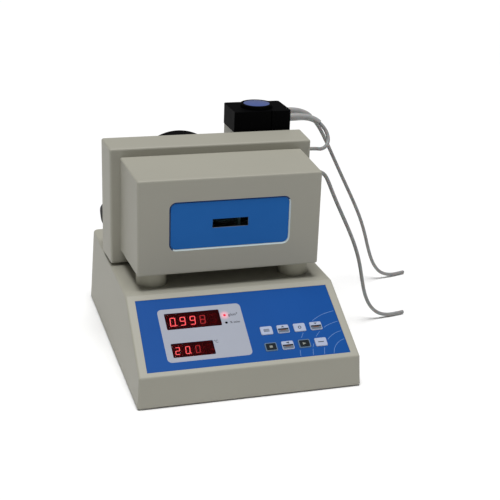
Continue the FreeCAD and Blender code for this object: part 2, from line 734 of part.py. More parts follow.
def base_plate():
    """The steel bottom plate with its folded-up board posts, held by the six case screws."""
    plate = soft_block("Plate", "base_width - 2 * base_wall - 2 * plate_gap",
                       "base_depth - 2 * base_wall - 2 * plate_gap", "plate_sheet",
                       "base_corner - base_wall", z=PLATE_BOTTOM)
    posts = [rod("Post", "standoff_radius", "standoff_height", x, y, PLATE_TOP) for x, y in MAIN_POSTS]
    holes = [rod("PlateHole", "screw_radius + hole_gap", "plate_sheet + 2 * overrun", x, y,
                 f"{PLATE_BOTTOM} - overrun") for x, y in BASE_SCREWS]
    return cut("BasePlate", join("PlateWithPosts", [plate, *posts]), holes)


def rubber_feet():
    """Four feet between the bottom plate and the bench."""
    return group("Feet", [rod("Foot", "foot_radius", PLATE_BOTTOM, f"{side} * (base_width / 2 - foot_inset)",
                              f"{end} * (base_depth / 2 - foot_inset)")
                          for side in (-1, 1) for end in (-1, 1)])


def case_screws():
    """All M3 screws: six under the base, four in the rear panel and four in the head's back plate."""
    screws = [case_screw("BaseScrew", x, y, PLATE_BOTTOM) for x, y in BASE_SCREWS]
    screws += [case_screw("RearScrew", x, f"{REAR_FACE} - rear_sheet", z, "y") for x, z in REAR_SCREWS]
    screws += [case_screw("BackScrew", x, FAN_FACE, z, "y", -1) for x, z in BACK_SCREWS]
    return group("CaseScrews", screws)


def mounting_bolts():
    """All M4 bolts: they hold the head, the motor box and the fan."""
    tops = [COVER_BOTTOM] * len(SPACERS) + [FRAME_BOTTOM] * len(PADS) + [TOP] * len(MOTOR_BOLTS)
    bolts = [join("Bolt", [
        rod("BoltHead", "bolt_head_radius", "bolt_head_height", x, y,
            f"{TOP} - base_wall - bolt_head_height"),
        rod("BoltShank", "bolt_radius", f"{top} + bolt_bite - {TOP} + base_wall", x, y, f"{TOP} - base_wall"),
    ]) for (x, y), top in zip(SPACERS + PADS + MOTOR_BOLTS, tops)]
    for x, z in FAN_BOLTS:
        bolts.append(join("FanBolt", [
            rod("FanBoltHead", "bolt_head_radius", "bolt_head_height", x, f"{FAN_FACE} + fan_depth", z, "y"),
            rod("FanBoltShank", "bolt_radius", "fan_depth + back_sheet", x, HEAD_BACK, z, "y")]))
    return group("MountingBolts", bolts)


def rear_panel():
    """The aluminium panel behind the base's rear opening, cut out for what it carries."""
    sheet = block("RearSheet", "rear_open_width + 2 * rear_ledge - 2 * plate_gap", "rear_sheet",
                  "rear_open_height + 2 * rear_ledge - 2 * plate_gap", y=f"{REAR_FACE} - rear_sheet / 2",
                  z=f"{REAR_MIDDLE} - rear_open_height / 2 - rear_ledge + plate_gap")
    sizes = [(INLET_X, "inlet_width", "inlet_height"), ("switch_x", "switch_width", "switch_height"),
             ("port_x", "port_body_width", "port_body_height")]
    cutters = [block("PanelCut", f"{wide} + 2 * hole_gap", "rear_sheet + 2 * overrun",
                     f"{tall} + 2 * hole_gap", x, f"{REAR_FACE} - rear_sheet / 2",
                     f"{REAR_MIDDLE} - {tall} / 2 - hole_gap")
               for x, wide, tall in sizes]
    cutters += [rod("PanelHole", "screw_radius + hole_gap", "rear_sheet + 2 * overrun", x,
                    f"{REAR_FACE} - rear_sheet - overrun", z, "y") for x, z in REAR_SCREWS]
    return cut("RearPanel", sheet, cutters)


def rear_box(name, x, wide, tall, start, deep):
    """A box on the rear panel's middle line, from a place along Y backwards."""
    return block(name, wide, deep, tall, x, f"{start} + ({deep}) / 2", f"{REAR_MIDDLE} - ({tall}) / 2")


def power_inlet():
    """A three-pin appliance inlet: lip, hollow body and pins."""
    solid = join("InletSolid", [
        rear_box("InletLip", INLET_X, "inlet_width + 2 * inlet_lip", "inlet_height + 2 * inlet_lip",
                 REAR_FACE, "inlet_lip_depth"),
        rear_box("InletBody", INLET_X, "inlet_width", "inlet_height", f"{REAR_FACE} - inlet_depth",
                 "inlet_depth")])
    hollow = rear_box("InletHollow", INLET_X, "inlet_width - 2 * inlet_wall",
                      "inlet_height - 2 * inlet_wall", f"{REAR_FACE} - inlet_depth + inlet_wall",
                      "inlet_depth + inlet_lip_depth")
    pins = [block("InletPin", "pin_width", "pin_length", "pin_height", f"{INLET_X} + {step} * pin_pitch",
                  f"{REAR_FACE} - inlet_depth + inlet_wall + pin_length / 2",
                  f"{REAR_MIDDLE} - pin_height / 2 - pin_rise * ({rise})")
            for step, rise in ((-1, 1), (1, 1), (0, -1))]
    return join("PowerInlet", [cut("InletCup", solid, [hollow]), *pins])


def switch_frame():
    """The power switch's frame: lip, box and the well that the rocker tips in."""
    solid = join("SwitchSolid", [
        rear_box("SwitchLip", "switch_x", "switch_width + 2 * switch_lip", "switch_height + 2 * switch_lip",
                 REAR_FACE, "switch_lip_depth"),
        rear_box("SwitchBody", "switch_x", "switch_width", "switch_height", f"{REAR_FACE} - switch_depth",
                 "switch_depth")])
    well = rear_box("SwitchWell", "switch_x", "switch_width - 2 * switch_wall",
                    "switch_height - 2 * switch_wall", f"{REAR_FACE} - switch_depth + switch_wall",
                    "switch_depth + switch_lip_depth")
    return cut("SwitchFrame", solid, [well])


def power_rocker():
    """The rocker, tipped to its on side about a barrel across the switch."""
    wide = "switch_width - 2 * switch_wall - 2 * rocker_gap"
    tall = "switch_height - 2 * switch_wall - 4 * rocker_gap"
    barrel = rod("RockerBarrel", "rocker_barrel", wide, f"-({wide}) / 2", along="x")
    cap = block("RockerCap", wide, "rocker_thick", tall, y="rocker_proud - rocker_thick / 2",
                z=f"-({tall}) / 2")
    return place(join("Rocker", [barrel, cap]), "switch_x",
                 f"{REAR_FACE} + switch_lip_depth - rocker_barrel / 2", REAR_MIDDLE, (1, 0, 0), "rocker_tilt")


def serial_port():
    """A nine-way data socket: flange, body, D-shaped shell and its two jack screws."""
    parts = [
        rear_box("PortFlange", "port_x", "port_width", "port_height", REAR_FACE, "port_flange"),
        rear_box("PortBody", "port_x", "port_body_width", "port_body_height",
                 f"{REAR_FACE} - port_body_depth", "port_body_depth"),
        rear_box("PortShell", "port_x", "port_shell_width", "port_shell_height",
                 f"{REAR_FACE} + port_flange", "port_shell_depth")]
    parts += [rod("PortJack", "jack_radius", "port_shell_depth", f"port_x + {side} * jack_pitch / 2",
                  f"{REAR_FACE} + port_flange", REAR_MIDDLE, "y") for side in (-1, 1)]
    return join("SerialPort", parts)


def control_panel():
    """The blue overlay, open for the display filters, the lamps and the key caps."""
    deep = "overlay_sheet + 2 * overrun"
    start = "-overlay_recess - overrun"
    keys = [soft_block("KeyHole", "key_width + 2 * key_gap", "key_height + 2 * key_gap", deep,
                       "key_corner + key_gap", x, y, start) for x, y in KEY_PLACES]
    openings = slope_openings("Opening", "filter_gap", "filter_corner", deep, start, "lamp_gap")
    return on_slope(cut("ControlPanel", outline_plate("Overlay", "0", "overlay_sheet", "-overlay_recess"),
                        openings + keys))


def display_filters():
    """The two dark red windows in front of the figures."""
    return on_slope(group("Filters", [
        soft_block("Filter", f"{name}_width", f"{name}_height", "filter_sheet", "filter_corner",
                   f"{name}_x", f"{name}_v", FILTER_BOTTOM) for name, _ in DISPLAYS]))


def digit_modules():
    """The seven-segment blocks, one for each figure."""
    return on_slope(group("Digits", [
        block("Digit", "digit_width", "digit_height", "digit_depth",
              f"{name}_x + ({place_in_row} - {count - 1} / 2) * digit_pitch", f"{name}_v", DISPLAY_BOARD_TOP)
        for name, count in DISPLAYS for place_in_row in range(count)]))


def unit_lamps():
    """The two small lamps that tell which unit is shown."""
    return on_slope(group("Lamps", [
        rod("Lamp", "lamp_radius", f"{OVERLAY_TOP} + lamp_proud - {DISPLAY_BOARD_TOP}", x, y,
            DISPLAY_BOARD_TOP) for x, y in LAMPS]))


def display_board():
    """The circuit board under the slope, with a push switch for each key."""
    board = block("DisplaySheet", "display_board_width", "display_board_length", "board_sheet",
                  y="display_board_start + display_board_length / 2", z=f"{DISPLAY_BOARD_TOP} - board_sheet")
    tacts = [block("Tact", "tact_width", "tact_width", "tact_height", x, y, DISPLAY_BOARD_TOP)
             for x, y in KEY_PLACES]
    return on_slope(join("DisplayBoard", [board, *tacts]))


def key(number, x, y):
    """A key cap with a flange that keeps it under the overlay and a stem down to its switch."""
    cap = soft_block("KeyCap", "key_width", "key_height",
                     f"{OVERLAY_TOP} + key_rise - {FLANGE_TOP}", "key_corner", x, y, FLANGE_TOP)
    flange = block("KeyFlange", "key_width + 2 * key_flange", "key_height + 2 * key_flange",
                   "key_flange_sheet", x, y, f"{FLANGE_TOP} - key_flange_sheet")
    stem = rod("KeyStem", "key_stem_radius", f"{FLANGE_TOP} - key_flange_sheet - {STEM_BOTTOM}",
               x, y, STEM_BOTTOM)
    return on_slope(join(f"Key{number}", [cap, flange, stem]))


def main_board():
    """The main circuit board on its posts, with its larger components."""
    top = f"{BOARD_BOTTOM} + board_sheet"
    parts = [block("MainSheet", "main_board_width", "main_board_depth", "board_sheet", "main_board_x",
                   "main_board_y", BOARD_BOTTOM)]
    parts += [block("Chip", "chip_width", "chip_depth", "chip_height",
                    f"main_board_x + ({step} - 1) * 2 * chip_width",
                    "main_board_y - main_board_depth / 5", top) for step in range(3)]
    parts += [rod("Capacitor", "capacitor_radius", "capacitor_height",
                  f"main_board_x + ({step} - 1) * 3 * capacitor_radius",
                  "main_board_y + main_board_depth / 4", top) for step in range(3)]
    return join("MainBoard", parts)


def power_supply():
    """The enclosed mains supply, with its terminal strip towards the user."""
    case = block("SupplyCase", "supply_width", "supply_depth", "supply_height", SUPPLY_X, "supply_y",
                 PLATE_TOP)
    strip = block("SupplyStrip", "supply_width - 2 * base_wall", "terminal_height", "terminal_height",
                  SUPPLY_X, "supply_y - supply_depth / 2 - terminal_height / 2", PLATE_TOP)
    return join("PowerSupply", [case, strip])


def spacer_feet():
    """Two round feet under the head's front and two low pads under its rear shell."""
    feet = [rod("Spacer", "spacer_radius", "cover_lift", x, y, TOP) for x, y in SPACERS]
    feet += [rod("Pad", "pad_radius", "frame_lift", x, y, TOP) for x, y in PADS]
    holes = [rod("SpacerHole", "bolt_radius + hole_gap", "cover_lift + 2 * overrun", x, y,
                 f"{TOP} - overrun") for x, y in SPACERS + PADS]
    return group("SpacerFeet", [cut("SpacerFoot", foot, [hole]) for foot, hole in zip(feet, holes)])


def floor_bosses(places, floor):
    """Bosses inside the head's floors and the holes in them for the bolts from below."""
    bosses = [rod("FloorBoss", "2.2 * bolt_radius", "bolt_bite + head_wall", x, y, floor) for x, y in places]
    holes = [rod("FloorHole", "bolt_radius + thread_gap", "bolt_bite + hole_gap", x, y, floor)
             for x, y in places]
    return bosses, holes


def head_front_cover():
    """The head's drafted front cover, with the recess and slot of the viewing window."""
    body, wedge = drafted("CoverOutside", {
        "Xmin": "-cover_width / 2", "Xmax": "cover_width / 2", "X2min": "-cover_rear_width / 2",
        "X2max": "cover_rear_width / 2", "Ymin": "0", "Ymax": "cover_depth", "Zmin": "0",
        "Zmax": "cover_height", "Z2min": "0", "Z2max": "cover_rear_height"}, COVER_FRONT, COVER_BOTTOM)
    near_back = worth(f"{JUNCTION} - head_wall")
    rounded(body, wedge, "CoverEdges", "cover_edge", lambda edge: edge.YMin < near_back)
    inside = DOC.addObject("Part::Wedge", "CoverInside")
    tie(inside, {"Xmin": "-cover_width / 2 + head_wall", "Xmax": "cover_width / 2 - head_wall",
                 "X2min": "-cover_rear_width / 2 + head_wall", "X2max": "cover_rear_width / 2 - head_wall",
                 "Ymin": "head_wall", "Ymax": "cover_depth", "Zmin": "head_wall",
                 "Zmax": "cover_height - head_wall", "Z2min": "head_wall",
                 "Z2max": "cover_rear_height - head_wall"})
    place(inside, y=COVER_FRONT, z=COVER_BOTTOM)
    bosses, holes = floor_bosses(SPACERS, COVER_BOTTOM)
    recess = window_plate("WindowRecess", "window_gap", "2 * window_recess", COVER_FRONT)
    slot = block("CoverSlot", "slot_width", "2 * head_wall + 2 * overrun", "slot_height", y=COVER_FRONT,
                 z=f"{WINDOW_MIDDLE} - slot_height / 2")
    port = rod("SamplePortHole", "port_shank + fit_gap", "4 * head_wall", f"{SAMPLE_PORT_X} - 3 * head_wall",
               SAMPLE_PORT_Y, SAMPLE_PORT_Z, "x")
    return cut("FrontCover", body, [cut("CoverHollow", inside, bosses), window_rim(), recess, slot, port,
                                    *holes])


def window_plate(name, gap, thick, middle, corner="window_corner"):
    """A plate with the viewing window's rounded outline, standing in the head's front."""
    return soft_block(name, f"window_width + 2 * {gap}", thick, f"window_height + 2 * {gap}",
                      corner, y=middle, z=f"{WINDOW_MIDDLE} - window_drop - window_height / 2 - {gap}",
                      test=lambda edge: edge.XLength + edge.ZLength < edge.YLength)


def window_rim():
    """The cutter for the bevel round the window: a plate that narrows down to the recess."""
    body = window_plate("WindowRim", "(window_gap + window_rim)", "2 * window_rim", COVER_FRONT,
                        "window_corner + window_rim")
    outline = body.Tip
    behind = worth(f"{COVER_FRONT} + window_rim / 2")
    bevel = body.newObject("PartDesign::Chamfer", "WindowBevel")
    bevel.Base = (outline, edges(outline, lambda edge: edge.YMin > behind))
    tie(bevel, {"Size": "window_rim"})
    body.Tip = bevel
    return body


def window_panel():
    """The blue plate round the viewing slot."""
    plate = window_plate("WindowPlate", "0", "window_sheet",
                         f"{COVER_FRONT} + window_recess - window_sheet / 2")
    slot = block("PanelSlot", "slot_width", "window_recess + 2 * overrun", "slot_height", y=COVER_FRONT,
                 z=f"{WINDOW_MIDDLE} - slot_height / 2")
    return cut("WindowPanel", plate, [slot])


def viewing_glass():
    """The glass behind the slot."""
    return block("ViewingGlass", "slot_width + 2 * glass_margin", "glass_sheet",
                 "slot_height + 2 * glass_margin", y=f"{COVER_FRONT} + head_wall + glass_sheet / 2",
                 z=f"{WINDOW_MIDDLE} - slot_height / 2 - glass_margin")


def head_rear_shell():
    """The shell behind the front cover; it widens to the back, where it is open."""
    body, wedge = drafted("FrameOutside", {
        "Xmin": "-frame_width / 2", "Xmax": "frame_width / 2", "X2min": "-frame_width / 2 - frame_flare",
        "X2max": "frame_width / 2 + frame_flare", "Ymin": "0", "Ymax": "frame_depth", "Zmin": "0",
        "Zmax": "frame_height", "Z2min": "0", "Z2max": "frame_height + frame_rise"}, JUNCTION, FRAME_BOTTOM)
    near_back = worth(f"{HEAD_BACK} - head_wall")
    rounded(body, wedge, "FrameEdges", "frame_edge", lambda edge: edge.YMin < near_back)
    inside = DOC.addObject("Part::Wedge", "FrameInside")
    half = "(frame_width / 2 - head_wall)"
    tie(inside, {"Xmin": f"-{half}", "Xmax": half, "X2min": f"-{half} - frame_flare",
                 "X2max": f"{half} + frame_flare", "Ymin": "head_wall", "Ymax": "frame_depth",
                 "Zmin": "head_wall", "Zmax": "frame_height - head_wall", "Z2min": "head_wall",
                 "Z2max": "frame_height + frame_rise - head_wall"})
    place(inside, y=JUNCTION, z=FRAME_BOTTOM)
    corner_posts = [rod("CornerPost", "boss_radius", "frame_depth", x, JUNCTION, z, "y")
                    for x, z in BACK_SCREWS]
    bosses, holes = floor_bosses(PADS, FRAME_BOTTOM)
    lip = "(head_wall + frame_lip)"
    opening = block("FrameOpening", f"cover_rear_width - 2 * {lip}", "4 * head_wall",
                    f"cover_rear_height - 2 * {lip}", y=JUNCTION, z=f"{COVER_BOTTOM} + {lip}")
    screws = [pilot("BackPilot", x, FAN_FACE, z, "y", -1) for x, z in BACK_SCREWS]
    port = rod("LoopPortHole", "port_shank + fit_gap", "4 * head_wall", f"{LOOP_PORT_X} - 3 * head_wall",
               LOOP_PORT_Y, LOOP_PORT_Z, "x")
    return cut("RearShell", body, [cut("FrameHollow", inside, corner_posts + bosses), opening, *screws,
                                   *holes, port])


def head_rear_plate():
    """The steel plate that closes the head's back, open behind the fan."""
    sheet = block("BackSheet", "frame_width + 2 * frame_flare - 2 * back_margin", "back_sheet",
                  "frame_height + frame_rise - 2 * back_margin", y=f"{HEAD_BACK} + back_sheet / 2",
                  z=f"{FRAME_BOTTOM} + back_margin")
    start = f"{HEAD_BACK} - overrun"
    deep = "back_sheet + 2 * overrun"
    cutters = [rod("FanOpening", FAN_TIP, deep, "cooling_x", start, COOLING_MIDDLE, "y"),
               rod("BackGlandHole", "gland_shank + hole_gap", deep, "gland_x", start, GLAND_Z, "y")]
    cutters += [rod("BackHole", "screw_radius + hole_gap", deep, x, start, z, "y") for x, z in BACK_SCREWS]
    cutters += [rod("FanBoltHole", "bolt_radius + thread_gap", deep, x, start, z, "y") for x, z in FAN_BOLTS]
    return cut("BackPlate", sheet, cutters)


def cell_box(name, more, start, deep, wide="cell_width", tall="cell_height"):
    """A box round the measuring cell's middle, larger than it by a margin on each side."""
    return block(name, f"{wide} + 2 * {more}", deep, f"{tall} + 2 * {more}", y=f"{start} + ({deep}) / 2",
                 z=f"{WINDOW_MIDDLE} - {tall} / 2 - {more}")


def cell_block():
    """The aluminium block that keeps the glass tube at one temperature."""
    solid = cell_box("CellSolid", "0", CELL_FRONT, "cell_depth")
    long = "(cell_width / 2 - channel_start + overrun)"
    channel = block("Channel", long, "2 * channel_depth", "channel_height", f"channel_start + {long} / 2",
                    CELL_FRONT, f"{WINDOW_MIDDLE} - channel_height / 2")
    well = rod("SensorWell", "sensor_radius + fit_gap", "sensor_length",
               "cell_width / 2 + sensor_proud - sensor_length", SENSOR_Y, SENSOR_Z, "x")
    return cut("CellBlock", solid, [channel, well])


def cell_insulation():
    """Foam round the block, open in front of the slot, at the tube's ends and behind."""
    solid = cell_box("FoamSolid", "(foam + foam_gap)", f"{CELL_FRONT} - foam - foam_gap",
                     "foam + foam_gap + cell_depth + peltier_sheet / 2")
    hollow = cell_box("FoamHollow", "foam_gap", f"{CELL_FRONT} - foam_gap", "cell_depth + 2 * foam_gap")
    sight = cell_box("FoamSight", "glass_margin / 2", f"{CELL_FRONT} - 2 * foam", "2 * foam + overrun",
                     "slot_width", "slot_height")
    ends = block("FoamEnds", "4 * foam", "channel_depth", "channel_height", "cell_width / 2 + foam",
                 TUBE_Y, f"{WINDOW_MIDDLE} - channel_height / 2")
    lead = rod("FoamLead", "sensor_radius + foam_gap", "4 * foam", "cell_width / 2 - foam", SENSOR_Y,
               SENSOR_Z, "x")
    cold = block("FoamCold", "peltier_width + 2 * foam_gap", "4 * foam", "peltier_width + 2 * foam_gap",
                 "cooling_x", CELL_BACK, f"{COOLING_MIDDLE} - peltier_width / 2 - foam_gap")
    return cut("Insulation", solid, [hollow, sight, ends, lead, cold])


def u_tube():
    """The hairpin of borosilicate glass that is made to vibrate."""
    def hairpin(name, radius, longer):
        legs = [rod(name + "Leg", radius, f"cell_width / 2 + tube_end - tube_bend_x + {longer}",
                    z=f"{side} * tube_pitch / 2", along="x") for side in (-1, 1)]
        bend = DOC.addObject("Part::Torus", name + "Bend")
        tie(bend, {"Radius1": "tube_pitch / 2", "Radius2": radius, "Angle3": "180"})
        place(bend, axis=(1, -1, 1), angle="120")
        return join(name, [*legs, bend])
    tube = cut("UTube", hairpin("Glass", "tube_radius", "0"), [hairpin("Bore", "tube_bore", "overrun")])
    return place(tube, "tube_bend_x", TUBE_Y, WINDOW_MIDDLE)


def tube_clamp():
    """The upright bar that grips both legs of the glass tube; it shows in the slot."""
    bar = block("ClampBar", "clamp_width", "clamp_depth", "channel_height - 2 * fit_gap", "clamp_x",
                f"{CELL_FRONT} + channel_depth - clamp_depth / 2",
                f"{WINDOW_MIDDLE} - channel_height / 2 + fit_gap")
    holes = [rod("ClampHole", "tube_radius + fit_gap", "4 * clamp_width", "clamp_x - 2 * clamp_width", TUBE_Y,
                 f"{WINDOW_MIDDLE} + {side} * tube_pitch / 2", "x") for side in (-1, 1)]
    return cut("TubeClamp", bar, holes)


def drive_coils():
    """The two coils behind the bend: one drives the tube and one picks its swing up."""
    deep = "channel_depth / 2 - tube_radius - coil_air"
    coils = []
    for side in (-1, 1):
        z = f"{WINDOW_MIDDLE} + {side} * tube_pitch / 2"
        coils.append(cut("Coil", rod("Winding", "coil_radius", deep, "tube_bend_x",
                                     f"{CELL_FRONT} + channel_depth - ({deep})", z, "y"),
                         [rod("CoilBore", "coil_bore", "channel_depth", "tube_bend_x", TUBE_Y, z, "y")]))
    return group("Coils", coils)


def temperature_sensor():
    """A platinum sensor in its well beside the channel."""
    return rod("Sensor", "sensor_radius", "sensor_length - fit_gap",
               "cell_width / 2 + sensor_proud - sensor_length + fit_gap", SENSOR_Y, SENSOR_Z, "x")


def peltier_module():
    """The thermoelectric plate between the block and the heat sink."""
    return block("Peltier", "peltier_width", "peltier_sheet", "peltier_width", "cooling_x",
                 f"{CELL_BACK} + peltier_sheet / 2", f"{COOLING_MIDDLE} - peltier_width / 2")


def heat_sink():
    """A finned aluminium sink whose fins reach the head's back plate."""
    base_y = f"{CELL_BACK} + peltier_sheet"
    parts = [block("SinkBase", "sink_width", "sink_base", "sink_height", "cooling_x",
                   f"{base_y} + sink_base / 2", f"{COOLING_MIDDLE} - sink_height / 2")]
    fin = f"({HEAD_BACK} - ({base_y}))"
    parts += [block("Fin", "fin_sheet", fin, "sink_height",
                    f"cooling_x + ({number} - {FINS - 1} / 2) * fin_pitch", f"{base_y} + {fin} / 2",
                    f"{COOLING_MIDDLE} - sink_height / 2") for number in range(FINS)]
    return join("HeatSink", parts)


def behind_head(thing):
    """Moves a piece made about the Z axis onto the fan's axis, its bottom against the back plate."""
    return place(thing, "cooling_x", FAN_FACE, COOLING_MIDDLE, (1, 0, 0), "-90")


def spun(thing, name, angle):
    """A shape turned about the Z axis."""
    return place(group(name, [thing]), axis=(0, 0, 1), angle=str(angle))


def fan_housing():
    """The round cowl with four bolt posts, and the finger guard that carries the fan's pin."""
    ring = cut("FanRing", rod("FanRound", "fan_radius", "fan_depth"),
               [rod("FanBore", "fan_radius - fan_wall", "fan_depth + 2 * overrun", z="-overrun")])
    posts = [spun(rod("FanPost", "fan_boss_radius", "fan_depth", FAN_BOSS_ORBIT), "FanPostTurned",
                  45 + 90 * number) for number in range(4)]
    holes = [spun(rod("FanHole", "bolt_radius + thread_gap", "fan_depth + 2 * overrun", FAN_BOSS_ORBIT,
                      z="-overrun"), "FanHoleTurned", 45 + 90 * number) for number in range(4)]
    level = "fan_depth - guard_arm / 2"
    wires = []
    for number in range(1, GUARD_RINGS):
        wire = DOC.addObject("Part::Torus", "GuardWire")
        tie(wire, {"Radius1": f"fan_hub_radius + {number} * guard_pitch", "Radius2": "guard_wire"})
        wires.append(place(wire, z=level))
    hub = rod("GuardHub", "fan_hub_radius", "guard_arm", z="fan_depth - guard_arm")
    arms = [spun(block("GuardArm", "fan_radius - fan_wall / 2 - fan_hub_radius / 2", "guard_arm", "guard_arm",
                       "(fan_radius - fan_wall / 2 + fan_hub_radius / 2) / 2", z="fan_depth - guard_arm"),
                 "GuardArmTurned", 90 * number) for number in range(4)]
    pin = rod("FanPin", "fan_pin_radius", "fan_hub_depth", z="fan_depth - fan_hub_depth")
    housing = cut("FanHousing", join("FanSolids", [ring, *posts, hub, *arms, *wires, pin]), holes)
    return behind_head(group("FanHousingPlaced", [housing]))


def fan_rotor():
    """The fan's hub and its pitched blades, bored to run on the pin."""
    hub = rod("FanHub", "fan_hub_radius", "fan_hub_depth", z="fan_clear")
    blades = []
    for number in range(BLADES):
        blade = block("Blade", f"{FAN_TIP} + overrun - fan_hub_radius / 2", "blade_sheet", "blade_chord",
                      f"({FAN_TIP} + overrun + fan_hub_radius / 2) / 2", z="-blade_chord / 2")
        tilted = place(group("BladeTilted", [blade]), z="fan_clear + fan_hub_depth / 2", axis=(1, 0, 0),
                       angle="blade_pitch")
        blades.append(spun(tilted, "BladeTurned", f"{number} * 360 / {BLADES}"))
    envelope = rod("FanEnvelope", FAN_TIP, "fan_hub_depth", z="fan_clear")
    solid = common("FanSolid", join("FanBlades", [hub, *blades]), envelope)
    bore = rod("FanRotorBore", "fan_pin_radius + fit_gap", "fan_depth",
               z="fan_depth - fan_hub_depth - fan_clear")
    return behind_head(group("FanRotorPlaced", [cut("FanRotor", solid, [bore])]))


def motor_box():
    """The housing that lifts the pump behind the head, open below onto the base."""
    wide, deep = "(pump_width - 2 * motor_box_inset)", "(pump_depth - 2 * motor_box_inset)"
    outside = soft_block("MotorBoxOutside", wide, deep, "motor_box_height", "pump_edge", "pump_x", PUMP_Y,
                         TOP)
    inside = block("MotorBoxInside", f"{wide} - 2 * motor_box_wall", f"{deep} - 2 * motor_box_wall",
                   "motor_box_height - motor_box_wall + overrun", "pump_x", PUMP_Y, f"{TOP} - overrun")
    side = "7 * bolt_radius"
    posts = [block("BoxPost", side, side, "bolt_bite + motor_box_wall", x, y, TOP) for x, y in MOTOR_BOLTS]
    holes = [rod("BoxPostHole", "bolt_radius + thread_gap", "bolt_bite + hole_gap", x, y, TOP)
             for x, y in MOTOR_BOLTS]
    mouth = rod("BoxMouth", "motor_boss + hole_gap", "2 * overrun + motor_box_wall", "rotor_x", ROTOR_Y,
                f"{PUMP_BOTTOM} - motor_box_wall - overrun")
    return cut("MotorBox", outside, [cut("MotorBoxHollow", inside, posts), *holes, mouth])


def pump_motor():
    """The geared motor that hangs under the motor box's top."""
    can = rod("MotorCan", "motor_radius", "motor_length", "rotor_x", ROTOR_Y,
              f"{PUMP_BOTTOM} - motor_box_wall - motor_length")
    boss = rod("MotorBoss", "motor_boss", "motor_box_wall", "rotor_x", ROTOR_Y,
               f"{PUMP_BOTTOM} - motor_box_wall")
    bore = rod("MotorBore", "shaft_radius + fit_gap", "motor_length", "rotor_x", ROTOR_Y,
               f"{PUMP_BOTTOM} - motor_length / 2")
    return cut("PumpMotor", join("MotorSolid", [can, boss]), [bore])


def pump_shaft():
    """The motor's output shaft."""
    return rod("PumpShaft", "shaft_radius", f"{ROTOR_TOP} - {PUMP_BOTTOM} + motor_length / 2 - hole_gap",
               "rotor_x", ROTOR_Y, f"{PUMP_BOTTOM} - motor_length / 2 + hole_gap")


def pump_hollow():
    """What is hollow in the pump head: the rotor's chamber, its neck and the two hose channels."""
    chamber = rod("Chamber", "track_radius + track_gap", "pump_height - pump_top + overrun", "rotor_x",
                  ROTOR_Y, f"{PUMP_BOTTOM} - overrun")
    neck = rod("NeckHole", "rotor_neck + track_gap", "pump_height + 2 * overrun", "rotor_x", ROTOR_Y,
               f"{PUMP_BOTTOM} - overrun")
    channels = [block("HoseChannel", f"{PUMP_RIGHT} - rotor_x + overrun", "squeezed_tube + 2 * track_gap",
                      "squeezed_height + 2 * track_gap", f"rotor_x + ({PUMP_RIGHT} - rotor_x + overrun) / 2",
                      f"{ROTOR_Y} + {side} * {TUBE_LINE}", f"{SQUEEZED_BOTTOM} - track_gap")
                for side in (-1, 1)]
    return [chamber, neck, *channels]


def pump_part(name, wide, x, side):
    """One of the pump head's two black blocks: its upright edges are rounder away from the seam."""
    middle = worth(x)

    def upright(edge, way):
        return edge.XLength + edge.YLength < edge.ZLength and (edge.XMin - middle) * way > 0

    body = soft_block(name + "Solid", wide, "pump_depth", "pump_height", "pump_corner", x, PUMP_Y,
                      PUMP_BOTTOM, lambda edge: upright(edge, side))
    rounded(body, body.Tip, name + "Seam", "pump_edge", lambda edge: upright(edge, -side))
    return cut(name, body, pump_hollow())


def pump_rotor():
    """Two flanges on a hub, with three pins for the rollers and a neck up to the knob."""
    parts = [rod("LowFlange", "rotor_flange_radius", "rotor_flange", "rotor_x", ROTOR_Y, ROTOR_BOTTOM),
             rod("HighFlange", "rotor_flange_radius", "rotor_flange", "rotor_x", ROTOR_Y,
                 f"{ROTOR_TOP} - rotor_flange"),
             rod("Hub", "rotor_hub", f"{ROTOR_TOP} - {ROTOR_BOTTOM}", "rotor_x", ROTOR_Y, ROTOR_BOTTOM),
             rod("Neck", "rotor_neck", f"{PUMP_TOP} + roller_air - {ROTOR_TOP}", "rotor_x", ROTOR_Y,
                 ROTOR_TOP)]
    parts += [rod("RollerPin", "roller_pin", f"{ROTOR_TOP} - {ROTOR_BOTTOM}", x, y, ROTOR_BOTTOM)
              for x, y in ROLLER_PLACES]
    bore = rod("RotorBore", "shaft_radius", f"{ROTOR_TOP} - {ROTOR_BOTTOM}", "rotor_x", ROTOR_Y,
               ROTOR_BOTTOM)
    return cut("PumpRotor", join("RotorSolid", parts), [bore])


def roller(x, y):
    """One roller, bored to run on its pin."""
    return cut("Roller", rod("RollerSolid", "roller_radius", "roller_length", x, y, ROLLER_BOTTOM),
               [rod("RollerBore", "roller_pin + fit_gap", "roller_length + 2 * overrun", x, y,
                    f"{ROLLER_BOTTOM} - overrun")])


def rotor_knob():
    """The black knob on top of the rotor, dished for its blue inlay."""
    solid = rod("KnobSolid", "knob_radius", "knob_height", "rotor_x", ROTOR_Y, f"{PUMP_TOP} + roller_air")
    dish = rod("KnobDish", "knob_inlay_radius + fit_gap", "knob_inlay_sink + overrun", "rotor_x", ROTOR_Y,
               f"{PUMP_TOP} + roller_air + knob_height - knob_inlay_sink")
    return cut("RotorKnob", solid, [dish])


def knob_inlay():
    """The slightly domed blue disc in the knob."""
    bottom = f"{PUMP_TOP} + roller_air + knob_height - knob_inlay_sink"
    disc = rod("InlayDisc", "knob_inlay_radius", "knob_inlay_sink + knob_inlay_dome", "rotor_x", ROTOR_Y,
               bottom)
    radius = "((knob_inlay_radius ^ 2 + knob_inlay_dome ^ 2) / (2 * knob_inlay_dome))"
    ball = DOC.addObject("Part::Sphere", "InlayDome")
    tie(ball, {"Radius": radius})
    place(ball, "rotor_x", ROTOR_Y, f"{bottom} + knob_inlay_sink + knob_inlay_dome - {radius}")
    return common("KnobInlay", disc, ball)


